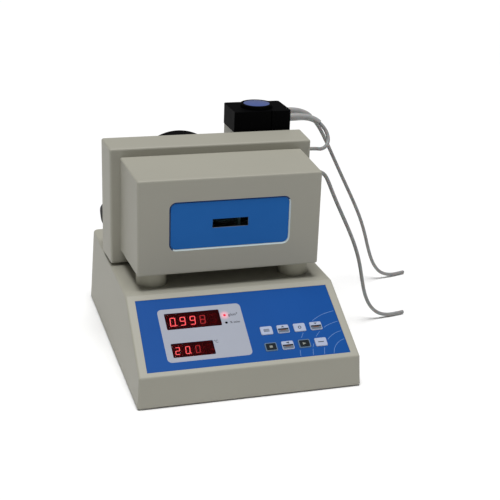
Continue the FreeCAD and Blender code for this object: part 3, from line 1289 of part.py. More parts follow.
def pump_tube():
    """The pump's own hose round the track, drawn flattened as the rollers squeeze it."""
    outer = rod("TubeOuter", "track_radius", "squeezed_height", "rotor_x", ROTOR_Y, SQUEEZED_BOTTOM)
    inner = rod("TubeInner", "track_radius - squeezed_tube", "squeezed_height + 2 * overrun", "rotor_x",
                ROTOR_Y, f"{SQUEEZED_BOTTOM} - overrun")
    open_half = block("TubeHalf", "2 * track_radius", "4 * track_radius", "squeezed_height + 2 * overrun",
                      "rotor_x + track_radius", ROTOR_Y, f"{SQUEEZED_BOTTOM} - overrun")
    ring = cut("TubeRing", outer, [inner, open_half])
    runs = [block("TubeRun", f"{PUMP_RIGHT} - rotor_x", "squeezed_tube", "squeezed_height",
                  f"rotor_x + ({PUMP_RIGHT} - rotor_x) / 2", f"{ROTOR_Y} + {side} * {TUBE_LINE}",
                  SQUEEZED_BOTTOM) for side in (-1, 1)]
    return join("PumpTube", [ring, *runs])


def hose_fittings():
    """Collars with sleeves where the hoses leave the pump, and two fittings in the head's right side."""
    fittings = []
    for side, route in ((-1, LOOP_HOSE), (1, WASTE_HOSE)):
        y = f"{ROTOR_Y} + {side} * {TUBE_LINE}"
        collar = rod("CollarSolid", "collar_radius", "collar_length", PUMP_RIGHT, y, HOSE_LINE, "x")
        bore = rod("CollarBore", "hose_bore", "collar_length + overrun", f"{PUMP_RIGHT} - overrun", y,
                   HOSE_LINE, "x")
        fittings.append(join("CollarAndSleeve", [cut("Collar", collar, [bore]), sleeve(route)]))
    ports = [(SAMPLE_PORT_X, SAMPLE_PORT_Y, SAMPLE_PORT_Z), (LOOP_PORT_X, LOOP_PORT_Y, LOOP_PORT_Z)]
    for x, y, z in ports:
        inner = f"{x} - head_wall - port_nipple"
        head = rod("FittingHead", "port_radius", "port_length", x, y, z, "x")
        shank = rod("FittingShank", "port_shank", "head_wall + port_nipple", inner, y, z, "x")
        bore = rod("FittingBore", "hose_bore", "head_wall + port_nipple + port_length + 2 * overrun",
                   f"{inner} - overrun", y, z, "x")
        fittings.append(cut("Fitting", join("FittingSolid", [head, shank]), [bore]))
    return group("HoseFittings", fittings)


def cable_glands():
    """The two glands that hold the head's cable."""
    glands = []
    for x, y, z, along in (("gland_x", FAN_FACE, GLAND_Z, "y"), ("base_gland_x", GLAND_Y, TOP, "z")):
        inner = {"x": x, "y": y, "z": z}
        inner[along] = f"{inner[along]} - gland_tail"
        solid = join("GlandSolid", [
            rod("GlandCollar", "gland_radius", "gland_length", x, y, z, along),
            rod("GlandTail", "gland_shank", "gland_tail", inner["x"], inner["y"], inner["z"], along)])
        glands.append(cut("Gland", solid, [
            rod("GlandBore", "cable_radius + fit_gap", "gland_tail + gland_length", inner["x"], inner["y"],
                inner["z"], along)]))
    return group("Glands", glands)


def smooth_path(route):
    """Straight runs joined by tangent arcs, each as large as its runs allow, and the arcs' radii."""
    points = [Vector(*point) for point in route]
    edges_made, start, radii = [], points[0], []
    for before, here, after in zip(points, points[1:], points[2:]):
        run_in, run_out = here - before, after - here
        turn = run_in.getAngle(run_out)
        reach = ARC_SHARE * min(run_in.Length, run_out.Length)
        radii.append(reach / math.tan(turn / 2))
        way_in, way_out = run_in.normalize(), run_out.normalize()
        arc_start, arc_end = here - way_in * reach, here + way_out * reach
        inward = (way_out - way_in).normalize()
        middle = here + inward * (radii[-1] * (1 / math.cos(turn / 2) - 1))
        edges_made.append(Part.LineSegment(start, arc_start).toShape())
        edges_made.append(Part.Arc(arc_start, middle, arc_end).toShape())
        start = arc_end
    edges_made.append(Part.LineSegment(start, points[-1]).toShape())
    return edges_made, radii


def ring_round(edge, place_on_edge, radius):
    """A circle round a straight edge, at its first or last parameter."""
    point = edge.valueAt(place_on_edge)
    return Part.Wire([Part.Circle(point, edge.tangentAt(place_on_edge), radius).toShape()])


def smooth_tube(name, route, radius):
    """A round tube along a smooth path."""
    edges_made, radii = smooth_path(route)
    path = Part.Wire(edges_made)
    ring = ring_round(edges_made[0], edges_made[0].FirstParameter, radius)
    solid = path.makePipeShell([ring], True, False)
    print(f"{name}: {path.Length:.1f} mm long, radii {min(radii):.1f} to {max(radii):.1f} mm, "
          f"volume {solid.Volume / (math.pi * radius ** 2 * path.Length):.4f} of section times length")
    return solid


def sleeve(route):
    """The sleeve over a hose's first part: it narrows from the collar's size towards its tip."""
    run = smooth_path(route)[0][:2 * SLEEVE_ARCS + 1]
    path = Part.Wire(run)
    first, last = run[0], run[-1]
    wide = ring_round(first, first.FirstParameter, worth("collar_radius"))
    narrow = ring_round(last, last.LastParameter, worth("sleeve_tip"))
    inside = ring_round(first, first.FirstParameter, worth("hose_radius + fit_gap"))
    solid = path.makePipeShell([wide, narrow], True, False)
    feature = DOC.addObject("Part::Feature", "Sleeve")
    feature.Shape = solid.cut(path.makePipeShell([inside], True, False))
    print(f"sleeve: {path.Length:.1f} mm long, volume {feature.Shape.Volume:.0f}")
    return place(feature, y=MOVED_Y)


def routed(name, routes, radius, z="0"):
    """A piece made of one tube for each route; it moves with the head."""
    feature = DOC.addObject("Part::Feature", name)
    solids = [smooth_tube(name, route, worth(radius)) for route in routes]
    feature.Shape = solids[0] if len(solids) == 1 else Part.makeCompound(solids)
    return place(feature, y=MOVED_Y, z=z)


def build():
    """Makes every piece."""
    node("base_shell", base_shell())
    node("base_plate", base_plate())
    node("rubber_feet", rubber_feet())
    node("case_screws", case_screws())
    node("mounting_bolts", mounting_bolts())
    node("rear_panel", rear_panel())
    node("power_inlet", power_inlet())
    node("switch_frame", switch_frame())
    node("power_rocker", power_rocker())
    node("serial_port", serial_port())
    node("control_panel", control_panel())
    node("display_filters", display_filters())
    node("digit_modules", digit_modules())
    node("unit_lamps", unit_lamps())
    node("display_board", display_board())
    for number, (x, y) in enumerate(KEY_PLACES, 1):
        node(f"key_{number}", key(number, x, y))
    node("main_board", main_board())
    node("power_supply", power_supply())
    node("spacer_feet", spacer_feet())
    node("head_front_cover", head_front_cover())
    node("window_panel", window_panel())
    node("viewing_glass", viewing_glass())
    node("head_rear_shell", head_rear_shell())
    node("head_rear_plate", head_rear_plate())
    node("cell_block", cell_block())
    node("cell_insulation", cell_insulation())
    node("u_tube", u_tube())
    node("tube_clamp", tube_clamp())
    node("drive_coils", drive_coils())
    node("temperature_sensor", temperature_sensor())
    node("peltier_module", peltier_module())
    node("heat_sink", heat_sink())
    node("fan_housing", fan_housing())
    node("fan_rotor", fan_rotor())
    node("motor_box", motor_box())
    node("pump_motor", pump_motor())
    node("pump_shaft", pump_shaft())
    left = "(pump_width - pump_clamp_width - pump_seam)"
    node("pump_body", pump_part("PumpBody", left, f"pump_x - pump_width / 2 + {left} / 2", -1))
    node("pump_clamp", pump_part("PumpClamp", "pump_clamp_width", f"{PUMP_RIGHT} - pump_clamp_width / 2", 1))
    node("pump_rotor", pump_rotor())
    for number, (x, y) in enumerate(ROLLER_PLACES, 1):
        node(f"roller_{number}", roller(x, y))
    node("rotor_knob", rotor_knob())
    node("knob_inlay", knob_inlay())
    node("pump_tube", pump_tube())
    node("hose_fittings", hose_fittings())
    node("cable_glands", cable_glands())
    node("sample_hose", routed("SampleHose", [SAMPLE_HOSE], "hose_radius"))
    node("waste_hose", routed("WasteHose", [WASTE_HOSE], "hose_radius"))
    node("loop_hose", routed("LoopHose", [LOOP_HOSE], "hose_radius"))
    node("cell_hoses", routed("CellHoses", [INNER_SAMPLE, INNER_LOOP], "cell_hose_radius", MOVED_Z))
    node("head_cable", routed("HeadCable", [HEAD_CABLE], "cable_radius", MOVED_Z))


def check():
    """Stops if a feature failed or a piece is missing, empty or not valid."""
    DOC.recompute()
    for thing in DOC.Objects:
        if {"Invalid", "Error"} & set(thing.State):
            raise RuntimeError(f"{thing.Name} ({thing.Label}) failed")
    for thing in NODES:
        if thing.Shape.isNull() or not thing.Shape.isValid() or not thing.Shape.Solids:
            raise RuntimeError(f"{thing.Label} has no valid solid")


def export():
    """Writes one STEP file for each piece."""
    os.makedirs("parts", exist_ok=True)
    for thing in NODES:
        thing.Shape.exportStep(os.path.join("parts", thing.Label + ".step"))
    print(f"{len(NODES)} pieces")


fill_sheet()
build()
check()
export()
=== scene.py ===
# %% [markdown]
# # A benchtop density meter
#
# The instrument finds a liquid's density without weighing it. A glass hairpin swings inside a
# thermostat block, and the heavier its filling, the slower it swings. A small pump on top pulls the
# sample through two soft hoses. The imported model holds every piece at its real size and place. This
# lesson gives the pieces their finishes, prints the control panel, lights the figures and lays the
# hoses.

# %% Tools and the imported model
import json
import math

import bmesh
import bpy
from mathutils import Matrix, Vector


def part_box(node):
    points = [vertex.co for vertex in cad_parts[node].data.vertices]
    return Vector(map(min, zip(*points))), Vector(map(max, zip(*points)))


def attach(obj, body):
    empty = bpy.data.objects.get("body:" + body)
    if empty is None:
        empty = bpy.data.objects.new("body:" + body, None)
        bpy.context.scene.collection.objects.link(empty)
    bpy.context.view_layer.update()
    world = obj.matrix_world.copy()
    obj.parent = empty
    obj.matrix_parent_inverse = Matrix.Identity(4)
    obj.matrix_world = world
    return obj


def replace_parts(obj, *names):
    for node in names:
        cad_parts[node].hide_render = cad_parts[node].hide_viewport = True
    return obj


MM = 0.001
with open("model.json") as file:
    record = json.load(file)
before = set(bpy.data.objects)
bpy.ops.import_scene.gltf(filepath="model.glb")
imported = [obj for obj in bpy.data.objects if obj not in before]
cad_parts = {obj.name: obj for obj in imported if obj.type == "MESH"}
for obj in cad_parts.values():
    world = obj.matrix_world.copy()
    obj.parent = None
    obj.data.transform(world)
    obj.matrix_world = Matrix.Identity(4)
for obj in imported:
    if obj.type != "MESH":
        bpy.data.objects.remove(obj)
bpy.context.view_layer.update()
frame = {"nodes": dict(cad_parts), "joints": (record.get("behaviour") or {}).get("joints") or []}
nodes = frame["nodes"]

# %% [markdown]
# ## The camera
#
# The photograph is square, so a square sensor and the focal length in pixels give the lens. The
# eye's place and its three turns come from matching corners of the housing with the photograph. They
# are kept as a yaw, a pitch and a roll, because those can be read and changed one by one, which a
# matrix can't.

# %% Camera
PHOTO_SIDE = 500
SENSOR = 36.0
FOCAL_PIXELS = 1106.663
EYE = Vector((-354.93, -1279.52, 633.14)) * MM
YAW, PITCH, ROLL = 0.3027554, 0.3660884, 0.0356006

ahead = Vector((math.sin(YAW) * math.cos(PITCH), math.cos(YAW) * math.cos(PITCH), -math.sin(PITCH)))
level = Vector((math.cos(YAW), -math.sin(YAW), 0.0))
raised = level.cross(ahead)
across = level * math.cos(ROLL) + raised * math.sin(ROLL)
upward = raised * math.cos(ROLL) - level * math.sin(ROLL)

camera = bpy.data.objects.new("camera", bpy.data.cameras.new("camera"))
camera.data.sensor_width = SENSOR
camera.data.lens = FOCAL_PIXELS * SENSOR / PHOTO_SIDE
camera.matrix_world = Matrix.Translation(EYE) @ Matrix((across, upward, -ahead)).transposed().to_4x4()
bpy.context.scene.collection.objects.link(camera)
bpy.context.scene.camera = camera
print(f"lens {camera.data.lens:.1f} mm")

# %% [markdown]
# ## Colours and shader nodes
#
# Paint and plastic colours are picked on a screen, so they are written as sRGB hex. A shader adds
# light, and light adds up only in linear values, so one function turns the hex into those. A second
# function adds any shader node: its settings are passed by name, and each input takes a value or
# another node's output.

# %% Colour and node helpers
SRGB_KNEE, SRGB_SLOPE, SRGB_OFFSET, SRGB_POWER = 0.04045, 12.92, 0.055, 2.4


def linear(colour):
    """An sRGB hex colour as linear red, green, blue and alpha."""
    parts = [int(colour[start:start + 2], 16) / 255 for start in (1, 3, 5)]
    return (*[part / SRGB_SLOPE if part <= SRGB_KNEE
              else ((part + SRGB_OFFSET) / (1 + SRGB_OFFSET)) ** SRGB_POWER for part in parts], 1.0)


def add_node(tree, kind, inputs=None, **settings):
    """Adds a node, sets its properties and gives its inputs values or other nodes' outputs."""
    node = tree.nodes.new(kind)
    for name, value in settings.items():
        setattr(node, name, value)
    for socket, value in (inputs or {}).items():
        if isinstance(value, bpy.types.NodeSocket):
            tree.links.new(value, node.inputs[socket])
        else:
            node.inputs[socket].default_value = value
    return node


def finish(name, colour, roughness, **sockets):
    """A material with one Principled shader; the other sockets are named with _ for a space."""
    material = bpy.data.materials.new(name)
    material.use_nodes = True
    shader = material.node_tree.nodes["Principled BSDF"]
    shader.inputs["Base Color"].default_value = linear(colour)
    shader.inputs["Roughness"].default_value = roughness
    for socket, value in sockets.items():
        shader.inputs[socket.replace("_", " ")].default_value = value
    return material


def place_of(tree):
    """Where a point lies on its own piece, in metres."""
    return add_node(tree, "ShaderNodeTexCoord").outputs["Object"]


def noise(tree, size, stretch=(1, 1, 1), detail=2.0):
    """Cloudy noise whose lumps are size metres across, drawn out along an axis where wanted."""
    where = add_node(tree, "ShaderNodeMapping", {"Vector": place_of(tree), "Scale": stretch})
    return add_node(tree, "ShaderNodeTexNoise",
                    {"Vector": where.outputs["Vector"], "Scale": 1 / size, "Detail": detail})


def mottle(material, size, light, dark, stretch=(1, 1, 1)):
    """Lets the colour drift between two near ones over patches of a given size."""
    tree = material.node_tree
    drift = add_node(tree, "ShaderNodeMix", {
        "Factor": noise(tree, size, stretch).outputs["Fac"], "A": linear(light), "B": linear(dark)},
        data_type="RGBA")
    tree.links.new(drift.outputs["Result"], tree.nodes["Principled BSDF"].inputs["Base Color"])
    return material


def grain(material, size, height, stretch=(1, 1, 1), detail=2.0):
    """Raises a fine texture on the surface: grain size and height in metres."""
    tree = material.node_tree
    bump = add_node(tree, "ShaderNodeBump", {
        "Height": noise(tree, size, stretch, detail).outputs["Fac"], "Distance": height, "Strength": 1.0})
    tree.links.new(bump.outputs["Normal"], tree.nodes["Principled BSDF"].inputs["Normal"])
    return material


def worn(material, size, rough_low, rough_high, stretch=(1, 1, 1)):
    """Varies the gloss in patches, as handling and wiping do."""
    tree = material.node_tree
    spread = add_node(tree, "ShaderNodeMapRange", {
        "Value": noise(tree, size, stretch).outputs["Fac"], "To Min": rough_low, "To Max": rough_high})
    tree.links.new(spread.outputs["Result"], tree.nodes["Principled BSDF"].inputs["Roughness"])
    return material


# %% [markdown]
# ## Shaping helpers
#
# A printed layer, a figure's segment and a screw head are all flat outlines given a thickness. A
# filled 2D curve does that well: outlines nest into holes by themselves, and its bevel rounds the
# rims. The curve becomes a mesh at once, and its doubled points are merged, so that each piece is
# one closed skin.

# %% Shaping helpers
WELD = 1e-7


def closed_skin(made, name):
    """The faces of a bmesh as a mesh, their normals turned outwards."""
    bmesh.ops.recalc_face_normals(made, faces=made.faces)
    mesh = bpy.data.meshes.new(name)
    made.to_mesh(mesh)
    made.free()
    return mesh


def keep(name, mesh, material, body="root", matrix=None):
    """Makes an object of a mesh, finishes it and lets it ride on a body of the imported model."""
    piece = bpy.data.objects.new(name, mesh)
    bpy.context.scene.collection.objects.link(piece)
    piece.matrix_world = matrix or Matrix.Identity(4)
    mesh.materials.clear()
    mesh.materials.append(material)
    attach(piece, body)
    return piece


def as_mesh(data, name):
    """The mesh that a curve or a text makes, with its doubled points merged."""
    holder = bpy.data.objects.new(name, data)
    bpy.context.scene.collection.objects.link(holder)
    shown = holder.evaluated_get(bpy.context.evaluated_depsgraph_get())
    mesh = bpy.data.meshes.new_from_object(shown)
    bpy.data.objects.remove(holder)
    mesh.name = name
    welded = bmesh.new()
    welded.from_mesh(mesh)
    bmesh.ops.remove_doubles(welded, verts=welded.verts, dist=WELD)
    bmesh.ops.dissolve_degenerate(welded, edges=welded.edges, dist=WELD)
    welded.to_mesh(mesh)
    welded.free()
    return mesh


def plate(name, loops, thick, bevel=0.0):
    """A plate on z = 0 from closed outlines; an outline inside another is a hole."""
    outline = bpy.data.curves.new(name, "CURVE")
    outline.dimensions = "2D"
    outline.fill_mode = "BOTH"
    outline.extrude = thick / 2 - bevel
    outline.bevel_depth = bevel
    outline.bevel_resolution = 2
    outline.offset = -bevel
    for loop in loops:
        spline = outline.splines.new("POLY")
        spline.points.add(len(loop) - 1)
        for point, (x, y) in zip(spline.points, loop):
            point.co = (x, y, 0.0, 1.0)
        spline.use_cyclic_u = True
    mesh = as_mesh(outline, name)
    mesh.transform(Matrix.Translation((0, 0, thick / 2)))
    return mesh


def prisms(name, loops, thick):
    """Separate plates on z = 0, one for each outline without holes."""
    made = bmesh.new()
    for loop in loops:
        low, high = [[made.verts.new((x, y, height)) for x, y in loop] for height in (0.0, thick)]
        made.faces.new(low)
        made.faces.new(high)
        for step in range(len(loop)):
            after = (step + 1) % len(loop)
            made.faces.new([low[step], low[after], high[after], high[step]])
    return closed_skin(made, name)


def rounded_loop(wide, tall, corners, middle=(0.0, 0.0), steps=6):
    """A rectangle whose corners are rounded; corners is one radius or four, from top right leftwards."""
    radii = corners if hasattr(corners, "__len__") else [corners] * 4
    points = []
    for turn, (radius, sx, sy) in enumerate(zip(radii, (1, -1, -1, 1), (1, 1, -1, -1))):
        centre = Vector((middle[0] + sx * (wide / 2 - radius), middle[1] + sy * (tall / 2 - radius)))
        count = steps if radius else 0
        for step in range(count + 1):
            angle = math.pi / 2 * (turn + step / max(count, 1))
            points.append((centre.x + radius * math.cos(angle), centre.y + radius * math.sin(angle)))
    return points


def circle_loop(radius, middle=(0.0, 0.0), sides=32):
    """A circle as a closed outline."""
    return [(middle[0] + radius * math.cos(math.tau * side / sides),
             middle[1] + radius * math.sin(math.tau * side / sides)) for side in range(sides)]


def merged(name, meshes):
    """Several meshes as one."""
    whole = bmesh.new()
    for mesh in meshes:
        whole.from_mesh(mesh)
    made = bpy.data.meshes.new(name)
    whole.to_mesh(made)
    whole.free()
    return made


def turned(name, profile, sides=48):
    """A lathed piece about Z from (radius, height) points, both ends on the axis."""
    made = bmesh.new()
    rings = []
    for radius, height in profile:
        if radius < WELD:
            rings.append([made.verts.new((0.0, 0.0, height))])
            continue
        rings.append([made.verts.new((radius * math.cos(math.tau * side / sides),
                                      radius * math.sin(math.tau * side / sides), height))
                      for side in range(sides)])
    for low, high in zip(rings, rings[1:]):
        for side in range(sides):
            after = (side + 1) % sides
            corners = [low[side % len(low)], low[after % len(low)], high[after % len(high)],
                       high[side % len(high)]]
            made.faces.new(list(dict.fromkeys(corners)))
    mesh = closed_skin(made, name)
    mesh.shade_smooth()
    return mesh


def sharp_above(piece, degrees=35):
    """Smooth shading that keeps the edges sharper than an angle."""
    piece.data.shade_smooth()
    piece.data.set_sharp_from_angle(angle=math.radians(degrees))
    return piece


def islands(node, into=Matrix.Identity(4)):
    """The lowest and highest corner of each separate solid in a node, in a frame of its own."""
    solid = bmesh.new()
    solid.from_mesh(nodes[node].data)
    bmesh.ops.remove_doubles(solid, verts=solid.verts, dist=WELD * 10)
    waiting, boxes = set(solid.verts), []
    while waiting:
        edge_of_group = [waiting.pop()]
        group = list(edge_of_group)
        while edge_of_group:
            near = {edge.other_vert(vert) for vert in edge_of_group for edge in vert.link_edges}
            edge_of_group = list(near & waiting)
            waiting -= near
            group += edge_of_group
        spots = [into @ vert.co for vert in group]
        boxes.append((Vector(map(min, *spots)), Vector(map(max, *spots))))
    solid.free()
    return sorted(boxes, key=lambda box: tuple(round(part / MM, 1) for part in box[0]))


# %% [markdown]
# ## Silicone hoses
#
# The hoses are natural silicone rubber, 5 mm outside and 3 mm inside, extruded in one length. Silicone
# is limp, so a hose leaves its collar straight, falls in a wide curve and then lies along the bench.
# A curve with a round bevel would give the outside alone. A tube made of rings along the same smooth
# line also has the bore and cut ends, and the bore is what makes a hose look like a hose from close
# by. The line is a NURBS spline, because it rounds the corners of its control points by itself.

# %% Hose routes
HOSE_OUTER, HOSE_BORE = 2.5 * MM, 1.5 * MM
LINE_STEPS, LINE_ORDER, HOSE_SIDES = 10, 3, 20
ROUTES = {
    "sample_hose": [
        (0.12155, -0.0130, 0.2250), (0.12755, -0.0130, 0.2250), (0.13335, -0.0130, 0.2229),
        (0.1381, -0.0128, 0.2189), (0.1431, -0.0122, 0.2100), (0.1504, -0.0100, 0.1946),
        (0.1604, -0.0070, 0.1750), (0.1724, -0.0040, 0.1526), (0.1840, -0.0012, 0.1302),
        (0.1940, 0.0012, 0.1080), (0.2014, 0.0030, 0.0860), (0.2066, 0.0042, 0.0640),
        (0.2118, 0.0050, 0.0426), (0.2202, 0.0058, 0.0234), (0.2326, 0.0068, 0.0098),
        (0.2474, 0.0082, 0.0038), (0.2624, 0.0106, 0.0029), (0.2770, 0.0142, 0.0030)],
    "waste_hose": [
        (0.1280, 0.1235, 0.2700), (0.1366, 0.1235, 0.2700), (0.1465, 0.1238, 0.2688),
        (0.1575, 0.1246, 0.2650), (0.1684, 0.1262, 0.2570), (0.1796, 0.1282, 0.2436),
        (0.1920, 0.1310, 0.2226), (0.2052, 0.1336, 0.1978), (0.2184, 0.1360, 0.1732),
        (0.2316, 0.1380, 0.1490), (0.2444, 0.1394, 0.1250), (0.2562, 0.1404, 0.1006),
        (0.2656, 0.1410, 0.0756), (0.2730, 0.1414, 0.0504), (0.2816, 0.1418, 0.0276),
        (0.2938, 0.1426, 0.0110), (0.3090, 0.1444, 0.0042), (0.3246, 0.1476, 0.0029),
        (0.3390, 0.1524, 0.0030)],
    "loop_hose": [
        (0.1280, 0.0905, 0.2700), (0.1376, 0.0905, 0.2700), (0.1482, 0.0896, 0.2690),
        (0.1582, 0.0870, 0.2654), (0.1666, 0.0824, 0.2588), (0.1714, 0.0756, 0.2500),
        (0.1712, 0.0682, 0.2410), (0.1654, 0.0616, 0.2350), (0.1566, 0.0568, 0.2332),
        (0.1476, 0.0542, 0.2354), (0.13713, 0.0542, 0.2354)],
}


def centreline(name, route):
    """Points along the smooth line of a hose: a NURBS spline with the route as control points."""
    line = bpy.data.curves.new(name, "CURVE")
    line.dimensions = "3D"
    line.resolution_u = LINE_STEPS
    spline = line.splines.new("NURBS")
    spline.points.add(len(route) - 1)
    for point, spot in zip(spline.points, route):
        point.co = (*spot, 1.0)
    spline.order_u = LINE_ORDER
    spline.use_endpoint_u = True
    return [vert.co.copy() for vert in as_mesh(line, name).vertices]


def tube(name, line):
    """A hollow tube along a line: outside, bore and two cut ends, on spokes that never twist."""
    made = bmesh.new()
    side = Vector((0, 0, 1))
    rings = []
    for number, spot in enumerate(line):
        along = (line[min(number + 1, len(line) - 1)] - line[max(number - 1, 0)]).normalized()
        side = (side - along * side.dot(along)).normalized()
        other = along.cross(side)
        spokes = [side * math.cos(turn) + other * math.sin(turn)
                  for turn in (math.tau * step / HOSE_SIDES for step in range(HOSE_SIDES))]
        rings.append([[made.verts.new(spot + spoke * radius) for spoke in spokes]
                      for radius in (HOSE_OUTER, HOSE_BORE)])
    for (outer, inner), (outer_next, inner_next) in zip(rings, rings[1:]):
        for step in range(HOSE_SIDES):
            after = (step + 1) % HOSE_SIDES
            for corners in ([outer[step], outer[after], outer_next[after], outer_next[step]],
                            [inner[after], inner[step], inner_next[step], inner_next[after]]):
                made.faces.new(corners).smooth = True
    for outer, inner in (rings[0], rings[-1]):
        for step in range(HOSE_SIDES):
            after = (step + 1) % HOSE_SIDES
            made.faces.new([outer[after], outer[step], inner[step], inner[after]])
    return closed_skin(made, name)


# Natural silicone rubber, extruded: milky, slightly tacky skin with a soft shine and no colour.
silicone = finish("silicone_rubber", "#a3a3a2", 0.38, IOR=1.41, Transmission_Weight=0.25,
                  Subsurface_Weight=0.2, Subsurface_Scale=2 * MM)
mottle(silicone, 9 * MM, "#a9a9a8", "#999998")

for name, route in ROUTES.items():
    line = centreline(name + "_line", route)
    hose = keep(name + "_tube", tube(name + "_tube", line), silicone)
    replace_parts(hose, name)

# %% [markdown]
# ## Housing plastics
#
# The base, the head and the pump's column are injection-moulded ABS in a warm light grey. The mould
# was spark-eroded, which leaves an even grain of about half a millimetre: it takes the shine off, so
# the large faces read as flat, soft tones. At the photograph's scale that grain is smaller than a
# pixel, so it is drawn a little coarser, and a wide, weak drift of colour keeps the big faces alive.

# %% Housing finishes
ABS_GRAIN, ABS_GRAIN_HEIGHT = 0.9 * MM, 0.012 * MM

housing = finish("moulded_abs", "#a3a195", 0.5, IOR=1.53, Specular_IOR_Level=0.3)
mottle(housing, 90 * MM, "#a5a397", "#a19f93")
grain(housing, ABS_GRAIN, ABS_GRAIN_HEIGHT)

spacer_plastic = finish("spacer_abs", "#9d9b8c", 0.52, IOR=1.53, Specular_IOR_Level=0.3)
mottle(spacer_plastic, 30 * MM, "#a09e8f", "#9a9889")
grain(spacer_plastic, ABS_GRAIN, ABS_GRAIN_HEIGHT)

# Moulded rubber: black without shine, so the feet read as a shadow.
rubber = finish("moulded_rubber", "#161616", 0.75, IOR=1.52)
grain(rubber, 0.7 * MM, 0.02 * MM)

# %% [markdown]
# ## Metals
#
# Sheet steel is cut from galvanised stock, whose zinc gives a dull, cloudy grey. The rear panel is
# brushed and anodised aluminium, so its scratches run one way and stretch the highlights across
# them. Machined blocks keep the fine arcs of the cutter, drawn here as short straight marks.

# %% Metal finishes
# Galvanised sheet: cloudy grey patches a centimetre or so across.
zinc = finish("galvanised_steel", "#9b9ea0", 0.42, Metallic=1.0)
mottle(zinc, 14 * MM, "#a6a9ab", "#8e9294")
worn(zinc, 10 * MM, 0.34, 0.5)

# Zinc plating on small heads: paler and brighter than the sheet.
screw_zinc = finish("zinc_plated_screw", "#b7b8b6", 0.3, Metallic=1.0)
worn(screw_zinc, 2 * MM, 0.24, 0.4)

# Brushed and anodised: fine level lines and highlights that spread upright.
brushed_aluminium = finish("brushed_anodised_aluminium", "#b9bbbd", 0.38, Metallic=1.0)
grain(brushed_aluminium, 0.8 * MM, 0.006 * MM, stretch=(0.03, 1, 1))
worn(brushed_aluminium, 1.2 * MM, 0.3, 0.46, stretch=(0.03, 1, 1))

# Milled aluminium: bare and bright, with the marks of the cutter.
machined_aluminium = finish("machined_aluminium", "#a7aaad", 0.32, Metallic=1.0)
grain(machined_aluminium, 0.6 * MM, 0.005 * MM, stretch=(1, 1, 0.08))

# Black anodising: a dark skin through which a trace of metal shines.
black_anodised = finish("black_anodised_aluminium", "#1b1c1e", 0.42, Metallic=0.6)
grain(black_anodised, 0.6 * MM, 0.005 * MM, stretch=(1, 1, 0.08))

# A drawn case: soft, uneven gloss where the sheet was stretched.
drawn_aluminium = finish("drawn_aluminium_case", "#a2a4a6", 0.4, Metallic=1.0)
worn(drawn_aluminium, 6 * MM, 0.34, 0.5)

# Nickel plating: warm and nearly a mirror.
nickel = finish("nickel_plated_steel", "#c3bfb4", 0.25, Metallic=1.0)
worn(nickel, 3 * MM, 0.2, 0.34)

# Ground stainless steel: short marks round the shaft.
stainless = finish("ground_stainless_steel", "#b4b4b2", 0.28, Metallic=1.0)
grain(stainless, 0.5 * MM, 0.004 * MM, stretch=(1, 1, 0.1))

# Enamelled wire: copper under a clear coat, with a ridge for each turn.
copper = finish("enamelled_copper_wire", "#a8502a", 0.3, Metallic=1.0, Coat_Weight=0.6)
grain(copper, 0.35 * MM, 0.03 * MM, stretch=(1, 0.1, 0.1))

# A painted can: dark, with a dull sheen.
motor_steel = finish("painted_motor_can", "#3a3b3d", 0.45, Metallic=0.6)
worn(motor_steel, 8 * MM, 0.38, 0.55)

# %% [markdown]
# ## Small plastics, ceramics and boards
#
# Glass-filled nylon makes the fan, the switch and the inlet: black, dry and faintly grained. The pump
# head is smooth black polycarbonate, which shines a little more and picks up fine wiping marks.

# %% Small finishes
# Glass-filled nylon: black, dry and faintly grained.
nylon = finish("glass_filled_nylon", "#070708", 0.6, IOR=1.53, Specular_IOR_Level=0.03)
grain(nylon, 0.6 * MM, 0.012 * MM)

# Black polycarbonate: smooth, with duller patches where hands wipe it.
pump_plastic = finish("black_polycarbonate", "#070708", 0.55, IOR=1.58, Specular_IOR_Level=0.015)
grain(pump_plastic, 0.8 * MM, 0.006 * MM)
worn(pump_plastic, 12 * MM, 0.5, 0.62)

# Turned acetal: cream white, with fine rings round its axis.
acetal = finish("turned_acetal", "#d8d6cf", 0.4, IOR=1.48)
grain(acetal, 0.4 * MM, 0.004 * MM, stretch=(0.2, 0.2, 1))

# Domed lacquer: blue below a clear, wet-looking coat.
inlay_lacquer = finish("blue_domed_lacquer", "#485b99", 0.25, IOR=1.5, Coat_Weight=0.5,
                       Coat_Roughness=0.08)
mottle(inlay_lacquer, 12 * MM, "#4c609e", "#445694")

# Unpigmented polypropylene: milky, and light enters it a little way.
polypropylene = finish("natural_polypropylene", "#afafae", 0.4, IOR=1.49, Transmission_Weight=0.2,
                       Subsurface_Weight=0.2, Subsurface_Scale=2 * MM)
mottle(polypropylene, 6 * MM, "#b4b4b3", "#a8a8a7")

# PVC sheath: black with a low shine and a slight orange peel.
cable_sheath = finish("pvc_cable_sheath", "#1b1b1d", 0.45, IOR=1.54)
grain(cable_sheath, 1.5 * MM, 0.02 * MM)

# PTFE: white, waxy and half clear.
ptfe = finish("ptfe_hose", "#d5d5d0", 0.35, IOR=1.35, Transmission_Weight=0.3, Subsurface_Weight=0.2,
              Subsurface_Scale=1 * MM)
mottle(ptfe, 5 * MM, "#dadad6", "#cdcdc8")

# Alumina: chalk white and slightly rough.
ceramic = finish("alumina_plate", "#e4e2dc", 0.55, IOR=1.76)
grain(ceramic, 0.5 * MM, 0.006 * MM)

# Closed-cell foam: dark, with cells of a millimetre or two.
foam = finish("closed_cell_foam", "#1c1c1e", 0.9, IOR=1.3)
grain(foam, 1.6 * MM, 0.25 * MM, detail=4.0)

# Solder mask: glossy green, streaked by the copper tracks below it.
board = finish("green_solder_mask", "#145a32", 0.35, IOR=1.5)
mottle(board, 4 * MM, "#176338", "#0f4f2b", stretch=(1, 0.15, 1))

